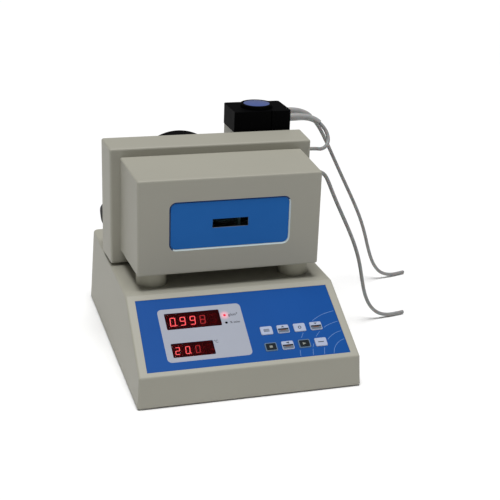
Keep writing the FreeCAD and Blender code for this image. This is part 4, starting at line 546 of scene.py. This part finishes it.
# Machined grey plastic: even, with a fine tooth.
clamp_plastic = finish("grey_clamp_plastic", "#8d8a85", 0.45, IOR=1.53)
grain(clamp_plastic, 0.5 * MM, 0.01 * MM)

# Display epoxy: nearly black, so that unlit figures vanish.
module_epoxy = finish("display_module_epoxy", "#17161a", 0.5, IOR=1.52)
grain(module_epoxy, 0.4 * MM, 0.01 * MM)

# %% [markdown]
# ## Clear pieces
#
# The windows before the figures are dark red acrylic. Red light passes and the rest is held back, so
# dull modules vanish behind them and only lit segments show. They and the viewing glass have an
# anti-glare face. A clear shader mirrors by its IOR alone, so a low IOR stands for that face. The
# hairpin is bare borosilicate glass, with the real IOR.

# %% Clear finishes
# Dark red acrylic with an anti-glare face.
filter_acrylic = finish("dark_red_acrylic", "#a23c42", 0.06, IOR=1.03, Transmission_Weight=0.95,
                        Specular_IOR_Level=0.02)
worn(filter_acrylic, 20 * MM, 0.03, 0.08)

# Bare borosilicate glass: clear, with bright edges.
glass = finish("borosilicate_glass", "#f4faf8", 0.02, IOR=1.47, Transmission_Weight=1.0)
worn(glass, 15 * MM, 0.0, 0.05)

# Coated glass: a faint cool tint and hardly a reflection.
coated_glass = finish("coated_window_glass", "#b4d2d8", 0.02, IOR=1.08, Transmission_Weight=1.0,
                      Specular_IOR_Level=0.1)
worn(coated_glass, 15 * MM, 0.0, 0.05)

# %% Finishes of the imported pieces
# Polycarbonate film printed from behind: deep even blue under a fine matt texture.
polycarbonate = finish("screen_printed_polycarbonate", "#144c94", 0.36, IOR=1.58, Specular_IOR_Level=0.03)
mottle(polycarbonate, 60 * MM, "#164f98", "#124990")
grain(polycarbonate, 0.5 * MM, 0.005 * MM)

# The same film in a slightly lighter blue.
window_polycarbonate = finish("window_panel_print", "#2467b2", 0.36, IOR=1.58, Specular_IOR_Level=0.04)
mottle(window_polycarbonate, 40 * MM, "#276ab6", "#2264ae")
grain(window_polycarbonate, 0.5 * MM, 0.005 * MM)

FINISHES = {
    housing: ["base_shell", "head_front_cover", "head_rear_shell", "motor_box"],
    spacer_plastic: ["spacer_feet"],
    rubber: ["rubber_feet"],
    zinc: ["base_plate", "head_rear_plate"],
    brushed_aluminium: ["rear_panel"],
    machined_aluminium: ["heat_sink"],
    black_anodised: ["cell_block"],
    drawn_aluminium: ["power_supply"],
    nickel: ["serial_port"],
    stainless: ["temperature_sensor", "pump_shaft"],
    copper: ["drive_coils"],
    motor_steel: ["pump_motor"],
    nylon: ["power_inlet", "switch_frame", "power_rocker", "fan_housing", "fan_rotor", "cable_glands"],
    pump_plastic: ["pump_body", "pump_clamp", "rotor_knob"],
    acetal: ["pump_rotor", "roller_1", "roller_2", "roller_3"],
    inlay_lacquer: ["knob_inlay"],
    polypropylene: ["hose_fittings"],
    silicone: ["pump_tube"],
    cable_sheath: ["head_cable"],
    ptfe: ["cell_hoses"],
    ceramic: ["peltier_module"],
    foam: ["cell_insulation"],
    board: ["display_board", "main_board"],
    clamp_plastic: ["tube_clamp"],
    module_epoxy: ["digit_modules"],
    filter_acrylic: ["display_filters"],
    glass: ["u_tube"],
    coated_glass: ["viewing_glass"],
    polycarbonate: ["control_panel"],
    window_polycarbonate: ["window_panel"],
}
for material, names in FINISHES.items():
    for name in names:
        nodes[name].data.materials.clear()
        nodes[name].data.materials.append(material)
print(sum(len(names) for names in FINISHES.values()), "packed pieces finished")

# %% [markdown]
# ## The window's bevel, with a painted highlight and a painted shadow
#
# The opening round the blue plate has a bevelled edge. Below and on the right it is painted a cool
# white, a painted highlight that stands for the light it takes from above and shows as a bright line.
# Above and on the left it is painted dark blue, a painted shadow of the cover's edge on the plate. One
# strip between two rounded outlines follows the bevel all round, as a closed skin, and each face takes
# its painted highlight or painted shadow from the way in which its side looks outward.

# %% Window bevel
BEVEL, BEVEL_CORNER, BEVEL_GAP, PLATE_DEPTH, COAT = 1.8 * MM, 7.0 * MM, 0.2 * MM, 1.2 * MM, 0.03 * MM

# Painted highlight: a cool white satin paint on the bevel's lower and right sides, standing in for the
# light from above.
bevel_highlight_paint = finish("bevel_painted_highlight", "#cddbdb", 0.4, IOR=1.5, Specular_IOR_Level=0.2)
grain(bevel_highlight_paint, 0.5 * MM, 0.003 * MM)
# Painted shadow: the plate's blue, darkened to stand in for the shade on the bevel's upper and left
# sides.
bevel_shadow_paint = finish("bevel_painted_shadow", "#14396c", 0.4, IOR=1.5, Specular_IOR_Level=0.1)
grain(bevel_shadow_paint, 0.5 * MM, 0.003 * MM)
# Faces whose side looks right or down take the painted highlight, and the others take the painted shadow.
HIGHLIGHT_FROM, HIGHLIGHT_SLOT, SHADOW_SLOT = 0.4, 0, 1

window_low, window_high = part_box("window_panel")
window_size = window_high - window_low
window_middle = (window_low + window_high) / 2
brim, throat = [rounded_loop(window_size.x + 2 * (BEVEL_GAP + out), window_size.z + 2 * (BEVEL_GAP + out),
                             BEVEL_CORNER + out) for out in (BEVEL, 0.0)]
outward = [(Vector(far) - Vector(near)).normalized() for far, near in zip(brim, throat)]
strip = bmesh.new()
rings = [[strip.verts.new((x, depth, z)) for x, z in outline]
         for outline, depth in ((brim, -COAT), (throat, BEVEL - COAT), (throat, BEVEL), (brim, 0.0))]
slots = []
for ring, after in zip(rings, rings[1:] + rings[:1]):
    for step in range(len(ring)):
        strip.faces.new([ring[step - 1], ring[step], after[step], after[step - 1]])
        way = (outward[step - 1] + outward[step]) / 2
        slots.append(HIGHLIGHT_SLOT if way.x - way.y > HIGHLIGHT_FROM else SHADOW_SLOT)
window_bevel = sharp_above(keep(
    "window_bevel", closed_skin(strip, "window_bevel"), bevel_highlight_paint,
    matrix=Matrix.Translation((window_middle.x, window_low.y - PLATE_DEPTH, window_middle.z))))
window_bevel.data.materials.append(bevel_shadow_paint)
window_bevel.data.polygons.foreach_set("material_index", slots)
print(f"bevel round {window_size.x / MM:.1f} by {window_size.z / MM:.1f} mm")

# %% [markdown]
# ## The slope's own frame
#
# All that is printed on the control panel lies flat on the base's slope. It is drawn in the slope's
# own frame, x across and y up the slope, where its sizes are the real ones, and one matrix puts it in
# place. The slope's tilt is read from the way the keys press, and its start from the panel's box.

# %% Slope frame
PANEL_START, PANEL_SHEET, PANEL_SINK = 6.6 * MM, 1.0 * MM, 1.3 * MM
PANEL_TOP = PANEL_SHEET - PANEL_SINK

press = next(joint for joint in frame["joints"] if joint["name"] == "key_1_press")
tilt = math.atan2(press["axis"][1], -press["axis"][2])
panel_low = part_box("control_panel")[0]
slope_start = Vector((
    0.0,
    panel_low.y - PANEL_START * math.cos(tilt) + PANEL_TOP * math.sin(tilt),
    panel_low.z - PANEL_START * math.sin(tilt) + PANEL_SINK * math.cos(tilt)))
SLOPE = Matrix.Translation(slope_start) @ Matrix.Rotation(tilt, 4, "X")
print(f"slope {math.degrees(tilt):.2f} degrees, starts at y {slope_start.y / MM:.2f}, "
      f"z {slope_start.z / MM:.2f} mm")


def on_slope(x=0.0, up=0.0, out=0.0):
    """The matrix that lays a piece on the slope at a place."""
    return SLOPE @ Matrix.Translation((x, up, out))


def middle_of(box):
    """The middle of a box across and up the slope."""
    return (box[0].x + box[1].x) / 2, (box[0].y + box[1].y) / 2


flat = SLOPE.inverted()
filters = islands("display_filters", flat)
modules = islands("digit_modules", flat)
lamps = islands("unit_lamps", flat)
keys = {f"key_{number}": islands(f"key_{number}", flat)[0] for number in range(1, 9)}
print(len(filters), "filters,", len(modules), "modules,", len(lamps), "lamps,", len(keys), "keys")

# %% [markdown]
# ## The printed field
#
# The overlay is printed from behind, and a satin white field surrounds both windows. Ink that lies
# behind a clear sheet looks as if it were the sheet's own surface, so the field is a layer a few
# hundredths of a millimetre thick on the overlay, cut out for the windows and the lamps. White ink
# scatters light: the lit lamp shines into it, and its red fades out within a few millimetres. The
# shader paints that light on as a painted glow: a weak emission that depends only on the distance
# from the lamp.

# %% Display field
INK = 0.04 * MM
FIELD_LEFT, FIELD_RIGHT, FIELD_LOW, FIELD_HIGH = -98.3 * MM, 4.85 * MM, 17.4 * MM, 93.1 * MM
FIELD_CORNER, FILTER_CORNER, INK_GAP = 5.5 * MM, 1.3 * MM, 0.15 * MM
LAMP_RADIUS = 1.5 * MM
GLOW_START, GLOW_END, GLOW_STRENGTH = 0.6 * MM, 8.4 * MM, 0.55

white_ink_painted_glow = finish("white_screen_ink_painted_glow", "#9ca1ad", 0.42, IOR=1.5, Specular_IOR_Level=0.15)
mottle(white_ink_painted_glow, 30 * MM, "#9fa3af", "#999eaa")
ink_tree = white_ink_painted_glow.node_tree
ink_shader = ink_tree.nodes["Principled BSDF"]
dark_lamp, lit_lamp = sorted(lamps, key=lambda box: box[0].y)
lamp_spot = Vector((*middle_of(lit_lamp), 0.0))
# Painted glow: the lamp's red light on the ink, an emission that weakens with the distance from the lit
# lamp.
away = add_node(ink_tree, "ShaderNodeVectorMath", {0: place_of(ink_tree), 1: lamp_spot},
                operation="DISTANCE")
fade = add_node(ink_tree, "ShaderNodeMapRange", {
    "Value": away.outputs["Value"], "From Min": GLOW_START, "From Max": GLOW_END,
    "To Min": GLOW_STRENGTH, "To Max": 0.0}, interpolation_type="SMOOTHERSTEP")
ink_tree.links.new(fade.outputs["Result"], ink_shader.inputs["Emission Strength"])
ink_shader.inputs["Emission Color"].default_value = linear("#ff6f7c")

field = [rounded_loop(FIELD_RIGHT - FIELD_LEFT, FIELD_HIGH - FIELD_LOW, FIELD_CORNER,
                      ((FIELD_LEFT + FIELD_RIGHT) / 2, (FIELD_LOW + FIELD_HIGH) / 2))]
for box in filters:
    size = box[1] - box[0]
    field.append(rounded_loop(size.x + 2 * INK_GAP, size.y + 2 * INK_GAP, FILTER_CORNER, middle_of(box)))
for box in lamps:
    field.append(circle_loop(LAMP_RADIUS + INK_GAP, middle_of(box)))
keep("display_field", plate("display_field", field, INK), white_ink_painted_glow, matrix=on_slope(out=PANEL_TOP))
print(f"field {(FIELD_RIGHT - FIELD_LEFT) / MM:.1f} by {(FIELD_HIGH - FIELD_LOW) / MM:.1f} mm")

# %% [markdown]
# ## Seven-segment figures
#
# Each module shows one figure made of seven bars that lean a little to the right. The upper window
# has the common 12.7 mm figures and the lower one 10.2 mm figures on modules of the same width. A bar
# is a thin hexagon with pointed ends. All the bars lie on the modules' faces behind the red
# window. The lit ones glow, the last figures more weakly, because the modules are lit in turn and
# the picture was taken halfway through. The others are grey diffusers that show as faint marks.

# %% Figures
UPPER_HIGH, LOWER_HIGH, SLIM, BAR_SHARE = 12.4 * MM, 10.4 * MM, 0.55, 0.085
BAR_GAP, BAR_SHEET, FIGURE_RISE = 0.2 * MM, 0.05 * MM, 0.8 * MM
FIGURE_LEAN, POINT_SHARE, POINT_SIDES = math.radians(5), 0.06, 16
BARS_OF = {"0": "abcdef", "2": "abdeg", "8": "abcdefg", "9": "abcdfg", " ": ""}


def bar_loop(letter, tall):
    """One bar of a figure of a given height, as a closed outline about the figure's middle."""
    bar = BAR_SHARE * tall
    high, wide = (tall - bar) / 2, (SLIM * tall - bar) / 2
    places = {"a": (0, high), "g": (0, 0), "d": (0, -high), "b": (wide, high / 2), "c": (wide, -high / 2),
              "e": (-wide, -high / 2), "f": (-wide, high / 2)}
    lying = letter in "agd"
    half = (wide if lying else high / 2) - BAR_GAP
    thin = bar / 2
    outline = [(-half - thin / 2, 0), (-half + thin / 2, thin), (half - thin / 2, thin),
               (half + thin / 2, 0), (half - thin / 2, -thin), (-half + thin / 2, -thin)]
    x, y = places[letter]
    return leaned([(x + a, y + b) if lying else (x + b, y + a) for a, b in outline])


def leaned(loop):
    """An outline slanted as the figures are."""
    return [(x + y * math.tan(FIGURE_LEAN), y) for x, y in loop]


def shifted(loop, middle):
    """An outline moved to a place."""
    return [(x + middle[0], y + middle[1]) for x, y in loop]


def point_loop(tall):
    """The decimal point at the lower right of a figure."""
    radius = POINT_SHARE * tall
    return leaned(circle_loop(radius, (SLIM * tall / 2 + 1.5 * radius, radius - tall / 2),
                              sides=POINT_SIDES))


rows = sorted({round(middle_of(box)[1], 4) for box in modules}, reverse=True)
shown = {rows[0]: [("0", True, True), ("9", False, True), ("9", False, True), ("8", False, False),
                   (" ", False, False)],
         rows[1]: [("2", False, True), ("0", True, True), ("0", False, False), (" ", False, False)]}
bright, dim, off = [], [], []
for (row, figures), tall in zip(shown.items(), (UPPER_HIGH, LOWER_HIGH)):
    row_modules = sorted((box for box in modules if round(middle_of(box)[1], 4) == row),
                         key=lambda box: box[0].x)
    for box, (figure, point, strong) in zip(row_modules, figures):
        x, up = middle_of(box)
        for letter in "abcdefg":
            lit = letter in BARS_OF[figure]
            (bright if lit and strong else dim if lit else off).append(
                shifted(bar_loop(letter, tall), (x, up + FIGURE_RISE)))
        (bright if point else off).append(shifted(point_loop(tall), (x, up + FIGURE_RISE)))

MODULE_FACE = modules[0][1].z
lit_red = finish("lit_segment", "#ff5a4a", 0.5, Emission_Strength=3.6, Emission_Color=linear("#fffaf0"))
dim_red = finish("dim_segment", "#d03a34", 0.5, Emission_Strength=1.0, Emission_Color=linear("#ffe4dc"))
off_grey = finish("unlit_segment", "#5a5052", 0.5)
for name, loops, material in (("figures_bright", bright, lit_red), ("figures_dim", dim, dim_red),
                              ("figures_off", off, off_grey)):
    keep(name, prisms(name, loops, BAR_SHEET), material, matrix=on_slope(out=MODULE_FACE))
print(len(bright), "bars lit brightly,", len(dim), "weakly,", len(off), "off")

# %% [markdown]
# ## Unit lamps
#
# Two light-emitting diodes stand in holes of the overlay, each a small epoxy dome. The upper one is
# lit, so its epoxy glows red throughout. The lower one is off and looks nearly black.

# %% Lamps
LAMP_DOME, DOME_STEPS = 0.7 * MM, 6
lamp_lit = finish("lit_red_epoxy", "#c01828", 0.3, IOR=1.5, Specular_IOR_Level=0.1,
                  Emission_Strength=0.7, Emission_Color=linear("#f02c48"))
lamp_off = finish("dark_red_epoxy", "#060304", 0.4, IOR=1.5, Specular_IOR_Level=0.05)
for name, box, material in (("unit_lamp_lit", lit_lamp, lamp_lit),
                            ("unit_lamp_dark", dark_lamp, lamp_off)):
    foot, top = box[0].z, box[1].z
    turns = [step * math.pi / (2 * DOME_STEPS) for step in range(DOME_STEPS)]
    dome = [(LAMP_RADIUS * math.cos(turn), top - LAMP_DOME / 2 + LAMP_DOME * math.sin(turn))
            for turn in turns]
    mesh = turned(name, [(0.0, foot), (LAMP_RADIUS, foot), *dome, (0.0, top + LAMP_DOME / 2)])
    piece = sharp_above(keep(name, mesh, material, matrix=on_slope(*middle_of(box))))
    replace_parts(piece, "unit_lamps")

# %% [markdown]
# ## Unit marks
#
# The marks beside the lamps and the lower window only name the units: grams per cubic centimetre, per
# cent and degrees Celsius. A text object gives plain letters, and it becomes a mesh as thin as ink.

# %% Unit marks
MARK_HIGH, CUBED_HIGH, PERCENT_HIGH, BOLDER = 5.0 * MM, 3.2 * MM, 4.4 * MM, 0.08 * MM
CELSIUS_GAP, CELSIUS_UP = 1.0 * MM, 39.3 * MM
grey_ink = finish("grey_screen_ink", "#33363d", 0.45, IOR=1.5, Specular_IOR_Level=0.15)
mottle(grey_ink, 8 * MM, "#363940", "#30333a")


def writing(name, words, size, x, up):
    """A short mark as a thin layer of ink on the field, its left end and foot at a place."""
    text = bpy.data.curves.new(name, "FONT")
    text.body = words
    text.size = size
    text.extrude = INK / 2
    text.offset = BOLDER
    mesh = as_mesh(text, name)
    mesh.transform(Matrix.Translation((0, 0, INK / 2)))
    keep(name, mesh, grey_ink, matrix=on_slope(x, up, PANEL_TOP + INK))


# Each mark beside a lamp: its words and height, its lamp, and its place right of and above it.
LAMP_MARKS = {
    "mark_density": ("g/cm", MARK_HIGH, lit_lamp, 4.5 * MM, -1.4 * MM),
    "mark_cubed": ("3", CUBED_HIGH, lit_lamp, 14.6 * MM, 0.6 * MM),
    "mark_percent": ("% m/m", PERCENT_HIGH, dark_lamp, 4.6 * MM, -1.5 * MM),
}
for name, (words, size, box, right, above) in LAMP_MARKS.items():
    x, up = middle_of(box)
    writing(name, words, size, x + right, up + above)
writing("mark_celsius", "°C", MARK_HIGH, filters[0][1].x + CELSIUS_GAP, CELSIUS_UP)
print(len(LAMP_MARKS) + 1, "marks")

# %% [markdown]
# ## Key faces
#
# Each key cap carries a printed face: white, two-tone, or dark in a pale frame. The faces are thin
# plates with soft rims, which catch a line of light as an embossed key does. The legends are plain
# signs in place of any wording: bars, arrows, a ring, a square and a dash. Each layer of ink lies a
# step above the one below, because two surfaces at one height would flicker.

# %% Key faces
FACE_SHEET, FACE_RIM, FACE_INSET, FACE_CORNER = 0.35 * MM, 0.15 * MM, 0.35 * MM, 1.6 * MM
CAP_FLANGE, PRINT_CORNER = 0.8 * MM, 1.2 * MM
DARK_BORDER, BAND_BORDER = 1.8 * MM, 1.0 * MM
BAND_TALL, BAND_DROP, LINE_TALL, SIGN_RISE = 0.52, 0.18, 0.16, 0.3
DASH_WIDE, DASH_TALL, DASH_DROP, DASH_CORNER = 0.5, 0.12, 0.14, 0.3 * MM
KEY_INKS = {
    "white": ("#a8b1c8", "#abb4cb", "#a4adc4"), "outline": ("#607892", "#647c96", "#5c748e"),
    "dark": ("#131c23", "#161f26", "#101920"), "grey": ("#626d7b", "#667180", "#5e6976"),
    "brown": ("#6d4f48", "#72534c", "#694b44"), "legend": ("#434a56", "#474e5a", "#3f4652"),
    "pale": ("#8b8f88", "#8f938c", "#878b84"),
}
inks = {}
for name, (colour, light, dark) in KEY_INKS.items():
    inks[name] = finish(name + "_key_print", colour, 0.45, IOR=1.5, Specular_IOR_Level=0.06)
    mottle(inks[name], 6 * MM, light, dark)

BAR_WIDE, BAR_HIGH, BAR_PITCH, SIGN = 7.4 * MM, 0.8 * MM, 1.44 * MM, 2.2 * MM
SIGNS = {
    "bars": [rounded_loop(BAR_WIDE, BAR_HIGH, 0.2 * MM, (0, step * BAR_PITCH)) for step in (-1, 0, 1)],
    "up": [[(-SIGN, -SIGN / 2), (SIGN, -SIGN / 2), (0, SIGN / 2)]],
    "down": [[(-SIGN, SIGN / 2), (0, -SIGN / 2), (SIGN, SIGN / 2)]],
    "ring": [circle_loop(SIGN), circle_loop(0.55 * SIGN)],
    "square": [rounded_loop(1.7 * SIGN, 1.4 * SIGN, 0.3 * MM)],
    "left": [[(-SIGN, 0), (SIGN, -0.7 * SIGN), (SIGN, 0.7 * SIGN)]],
    "right": [[(-SIGN, -0.8 * SIGN), (SIGN, 0), (-SIGN, 0.8 * SIGN)]],
    "dash": [rounded_loop(BAR_WIDE, 1.6 * BAR_HIGH, 0.3 * MM)],
}
KEY_LOOKS = {
    "key_1": ("white", "bars"), "key_2": ("two", "up"), "key_3": ("white", "ring"),
    "key_4": ("two", "down"), "key_5": ("dark", "square"), "key_6": ("two", "left"),
    "key_7": ("dark", "right"), "key_8": ("white", "dash"),
}
for name, (look, sign) in KEY_LOOKS.items():
    low, high = keys[name]
    x, up = middle_of(keys[name])
    wide = high.x - low.x - 2 * (CAP_FLANGE + FACE_INSET)
    tall = high.y - low.y - 2 * (CAP_FLANGE + FACE_INSET)
    base_ink = inks["outline" if look == "dark" else "white"]
    nodes[name].data.materials.clear()
    nodes[name].data.materials.append(base_ink)
    layers = [("face", [rounded_loop(wide, tall, FACE_CORNER)], base_ink, 0)]
    if look == "dark":
        inner = rounded_loop(wide - DARK_BORDER, tall - DARK_BORDER, PRINT_CORNER)
        layers += [("panel", [inner], inks["dark"], 1), ("sign", SIGNS[sign], inks["pale"], 2)]
    elif look == "two":
        band = rounded_loop(wide - BAND_BORDER, BAND_TALL * tall, (0, 0, PRINT_CORNER, PRINT_CORNER),
                            (0, -BAND_DROP * tall))
        line = rounded_loop(wide - BAND_BORDER, LINE_TALL * tall, 0)
        dash = rounded_loop(DASH_WIDE * wide, DASH_TALL * tall, DASH_CORNER, (0, -DASH_DROP * tall))
        raised_sign = [shifted(loop, (0, SIGN_RISE * tall)) for loop in SIGNS[sign]]
        layers += [("band", [band], inks["grey"], 1), ("line", [line], inks["dark"], 2),
                   ("second", [dash], inks["brown"], 3), ("sign", raised_sign, inks["legend"], 1)]
    else:
        layers += [("sign", SIGNS[sign], inks["legend"], 1)]
    for title, loops, ink, level in layers:
        printed = level > 0
        thick, rim = (INK, 0) if printed else (FACE_SHEET, FACE_RIM)
        lift = FACE_SHEET + (level - 1) * INK if printed else 0
        piece = f"{name}_{title}"
        keep(piece, plate(piece, loops, thick, rim), ink, name, on_slope(x, up, high.z + lift))
print(len(KEY_LOOKS), "keys printed in", len(inks), "inks")

# %% [markdown]
# ## Ripples on the panel
#
# The panel's right part carries a quiet ornament: rings that spread from the lower right corner, as
# ripples do. Each ring is a thin band of lighter blue ink, broken where a key stands.

# %% Ripples
RIPPLE_CENTRE = (128.0 * MM, 3.0 * MM)
RIPPLE_RADII = [24.0 * MM, 36.0 * MM, 50.0 * MM, 66.0 * MM]
RIPPLE_WIDE, RIPPLE_MARGIN, RIPPLE_STEPS, SHORTEST = 0.45 * MM, 1.2 * MM, 90, 2
PANEL_END, PANEL_LOW_HALF, PANEL_HIGH_HALF = 109.0 * MM, 124.85 * MM, 121.7 * MM
ripple_ink = finish("light_blue_ink", "#5c86bd", 0.4, IOR=1.5)
mottle(ripple_ink, 14 * MM, "#678fc4", "#4f7bb5")


def on_bare_panel(x, up):
    """Whether a point lies on the panel's bare blue, clear of its rim and its keys."""
    share = (up - PANEL_START) / (PANEL_END - PANEL_START)
    half = PANEL_LOW_HALF + (PANEL_HIGH_HALF - PANEL_LOW_HALF) * share
    if not (PANEL_START + RIPPLE_MARGIN < up < PANEL_END - RIPPLE_MARGIN and x < half - RIPPLE_MARGIN):
        return False
    return not any(low.x - RIPPLE_MARGIN < x < high.x + RIPPLE_MARGIN
                   and low.y - RIPPLE_MARGIN < up < high.y + RIPPLE_MARGIN for low, high in keys.values())


def arc_spots(radius, first, last):
    """Points of one ring between two steps of its quarter turn."""
    turns = [math.pi / 2 * step / RIPPLE_STEPS for step in range(first, last + 1)]
    return [(RIPPLE_CENTRE[0] - radius * math.cos(turn), RIPPLE_CENTRE[1] + radius * math.sin(turn))
            for turn in turns]


ripples = []
for radius in RIPPLE_RADII:
    start = None
    for step in range(RIPPLE_STEPS + 2):
        clear = step <= RIPPLE_STEPS and on_bare_panel(*arc_spots(radius, step, step)[0])
        if clear and start is None:
            start = step
        if not clear and start is not None:
            if step - start > SHORTEST:
                ripples.append(arc_spots(radius + RIPPLE_WIDE / 2, start, step - 1)
                               + arc_spots(radius - RIPPLE_WIDE / 2, start, step - 1)[::-1])
            start = None
keep("panel_ripples", plate("panel_ripples", ripples, INK), ripple_ink, matrix=on_slope(out=PANEL_TOP))
print(len(ripples), "pieces of ring")

# %% [markdown]
# ## Screws and bolts
#
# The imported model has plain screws. From behind, a person sees their heads, so each is made again
# with a rounded pan head and a cross recess. The head is two layers: a lower disc that closes the
# recess, and an upper one with the cross cut out of it and a soft rim.

# %% Screws
# The radius of the shank, and the radius and height of the head.
SCREW, BOLT = (1.5 * MM, 2.75 * MM, 1.4 * MM), (2.0 * MM, 3.5 * MM, 2.6 * MM)
RECESS_REACH, RECESS_HALF, RIM_SHARE, STEM_SIDES = 0.55, 0.13, 0.15, 24


def cross_loop(reach, half):
    """The outline of a cross recess."""
    arm = [(reach, half), (half, half), (half, reach)]
    points = []
    for _ in range(4):
        points += arm
        arm = [(-y, x) for x, y in arm]
    return points


def screw_mesh(name, size, length):
    """A screw along Z: its shank ends at z = 0 and its head is on top."""
    shank, head, tall = size
    neck = length - tall
    stem = turned(name + "_stem", [(0.0, 0.0), (shank, 0.0), (shank, neck), (0.0, neck)], STEM_SIDES)
    low = plate(name + "_low", [circle_loop(head)], tall / 2)
    low.transform(Matrix.Translation((0, 0, neck)))
    recess = cross_loop(RECESS_REACH * head, RECESS_HALF * head)
    high = plate(name + "_high", [circle_loop(head), recess], tall / 2, RIM_SHARE * tall)
    high.transform(Matrix.Translation((0, 0, neck + tall / 2)))
    return merged(name, [stem, low, high])


for node, size in (("case_screws", SCREW), ("mounting_bolts", BOLT)):
    made = []
    for number, (low, high) in enumerate(islands(node)):
        span = high - low
        middle = (low + high) / 2
        level_screw = span.y > span.z
        turn = Matrix.Rotation(math.radians(-90 if level_screw else 180), 4, "X")
        foot = Vector((middle.x, low.y, middle.z) if level_screw else (middle.x, middle.y, high.z))
        mesh = screw_mesh(f"{node}_{number}", size, max(span))
        mesh.transform(Matrix.Translation(foot) @ turn)
        made.append(mesh)
    piece = keep(node + "_crossed", merged(node + "_crossed", made), screw_zinc)
    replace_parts(sharp_above(piece), node)
    print(node, len(made))

# %% [markdown]
# ## Sockets and switch at the back
#
# The inlet's pins are nickel-plated brass, so each packed pin gets a thin bright sleeve with eased
# edges. The data socket holds a black insert with nine holes, and the rocker has the usual line and
# ring that tell on from off.

# %% Back panel details
PIN_WIDE, PIN_TALL, PIN_LENGTH, PIN_PITCH, PIN_RISE = 2.0 * MM, 4.0 * MM, 12.0 * MM, 7.0 * MM, 3.0 * MM
INLET_DEEP, INLET_WALL, INLET_LIP = 18.0 * MM, 1.6 * MM, 2.5 * MM
SLEEVE, SLEEVE_RIM, SLEEVE_CORNER = 0.06 * MM, 0.3 * MM, 0.4 * MM
FACE_BACK = Matrix.Rotation(math.radians(90), 4, "X") @ Matrix.Rotation(math.radians(180), 4, "Y")

inlet_low, inlet_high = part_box("power_inlet")
rear_face = inlet_high.y - INLET_LIP
inlet_x, inlet_z = (inlet_low.x + inlet_high.x) / 2, (inlet_low.z + inlet_high.z) / 2
sleeves = []
for step, rise in ((-1, 1), (1, 1), (0, -1)):
    sleeve = plate("sleeve", [rounded_loop(PIN_WIDE + 2 * SLEEVE, PIN_TALL + 2 * SLEEVE, SLEEVE_CORNER)],
                   PIN_LENGTH + SLEEVE, SLEEVE_RIM)
    sleeve.transform(Matrix.Translation((inlet_x + step * PIN_PITCH, rear_face - INLET_DEEP + INLET_WALL,
                                         inlet_z - rise * PIN_RISE)) @ FACE_BACK)
    sleeves.append(sleeve)
keep("inlet_pins", merged("inlet_pins", sleeves), nickel)

SOCKET_WIDE, SOCKET_TALL, SOCKET_HOLE, HOLE_SIDES = 15.6 * MM, 7.0 * MM, 0.55 * MM, 12
SOCKET_PITCH, ROW_RISE = 2.77 * MM, 1.4 * MM
INSERT_SHEET, INSERT_CORNER, INSERT_RIM = 0.5 * MM, 1.5 * MM, 0.1 * MM
port_low, port_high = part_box("serial_port")
port_x, port_z = (port_low.x + port_high.x) / 2, (port_low.z + port_high.z) / 2
holes = [circle_loop(SOCKET_HOLE, ((step - (count - 1) / 2) * SOCKET_PITCH, height), HOLE_SIDES)
         for count, height in ((5, ROW_RISE), (4, -ROW_RISE)) for step in range(count)]
insert = plate("socket_insert", [rounded_loop(SOCKET_WIDE, SOCKET_TALL, INSERT_CORNER), *holes],
               INSERT_SHEET, INSERT_RIM)
keep("socket_insert", insert, nylon,
     matrix=Matrix.Translation((port_x, port_high.y, port_z)) @ FACE_BACK)

ROCKER_PIVOT = Vector((-16.0, 165.5, 50.0)) * MM
ROCKER_TILT, ROCKER_FACE = math.radians(10), 2.2 * MM
MARK_OUT, LINE_WIDE, LINE_LONG, LINE_CORNER = 4.2 * MM, 0.7 * MM, 3.0 * MM, 0.2 * MM
RING_OUTER, RING_INNER = 1.5 * MM, 0.95 * MM
mark_white = finish("white_pad_print", "#d8d8d6", 0.5)
mottle(mark_white, 4 * MM, "#dcdcda", "#d2d2d0")
on_mark = rounded_loop(LINE_WIDE, LINE_LONG, LINE_CORNER, (0, MARK_OUT))
off_ring = [circle_loop(radius, (0, -MARK_OUT)) for radius in (RING_OUTER, RING_INNER)]
rocker_place = (Matrix.Translation(ROCKER_PIVOT) @ Matrix.Rotation(ROCKER_TILT, 4, "X")
                @ Matrix.Translation((0, ROCKER_FACE, 0)) @ FACE_BACK)
keep("rocker_marks", plate("rocker_marks", [on_mark, *off_ring], INK), mark_white, "rocker",
     rocker_place)
print(len(sleeves), "pins,", len(holes), "holes")

# %% [markdown]
# ## Floor and light
#
# The photograph was cut out on white, so the floor is a matt white sheet that runs past the picture.
# Tops are bright and upright faces a good third darker, which asks for one very soft light high up,
# and little from the sides. A sun lamp gives that evenly over the whole floor: its wide angle makes
# the shadows soft, and the sky adds what the room would reflect.

# %% Floor, light and sky
FLOOR_SIDE = 14.0
SUN_POWER, SUN_ANGLE, SKY_POWER = 3.0, math.radians(32), 0.16
SUN_TURN = (math.radians(3.5), math.radians(-2.4), 0)

floor_paint = finish("matt_white_floor", "#fafafa", 0.9)
mottle(floor_paint, 400 * MM, "#fbfbfb", "#f9f9f9")
bpy.ops.mesh.primitive_plane_add(size=FLOOR_SIDE, location=(0, 0, 0))
studio_floor = bpy.context.object
studio_floor.name = "studio_floor"
studio_floor.data.materials.append(floor_paint)

sun = bpy.data.objects.new("soft_sun", bpy.data.lights.new("soft_sun", "SUN"))
sun.data.energy = SUN_POWER
sun.data.angle = SUN_ANGLE
sun.rotation_euler = SUN_TURN
bpy.context.scene.collection.objects.link(sun)

sky = bpy.data.worlds.new("studio_sky")
bpy.context.scene.world = sky
sky.use_nodes = True
sky.node_tree.nodes["Background"].inputs["Color"].default_value = linear("#ffffff")
sky.node_tree.nodes["Background"].inputs["Strength"].default_value = SKY_POWER
bpy.context.scene.view_settings.view_transform = "Standard"
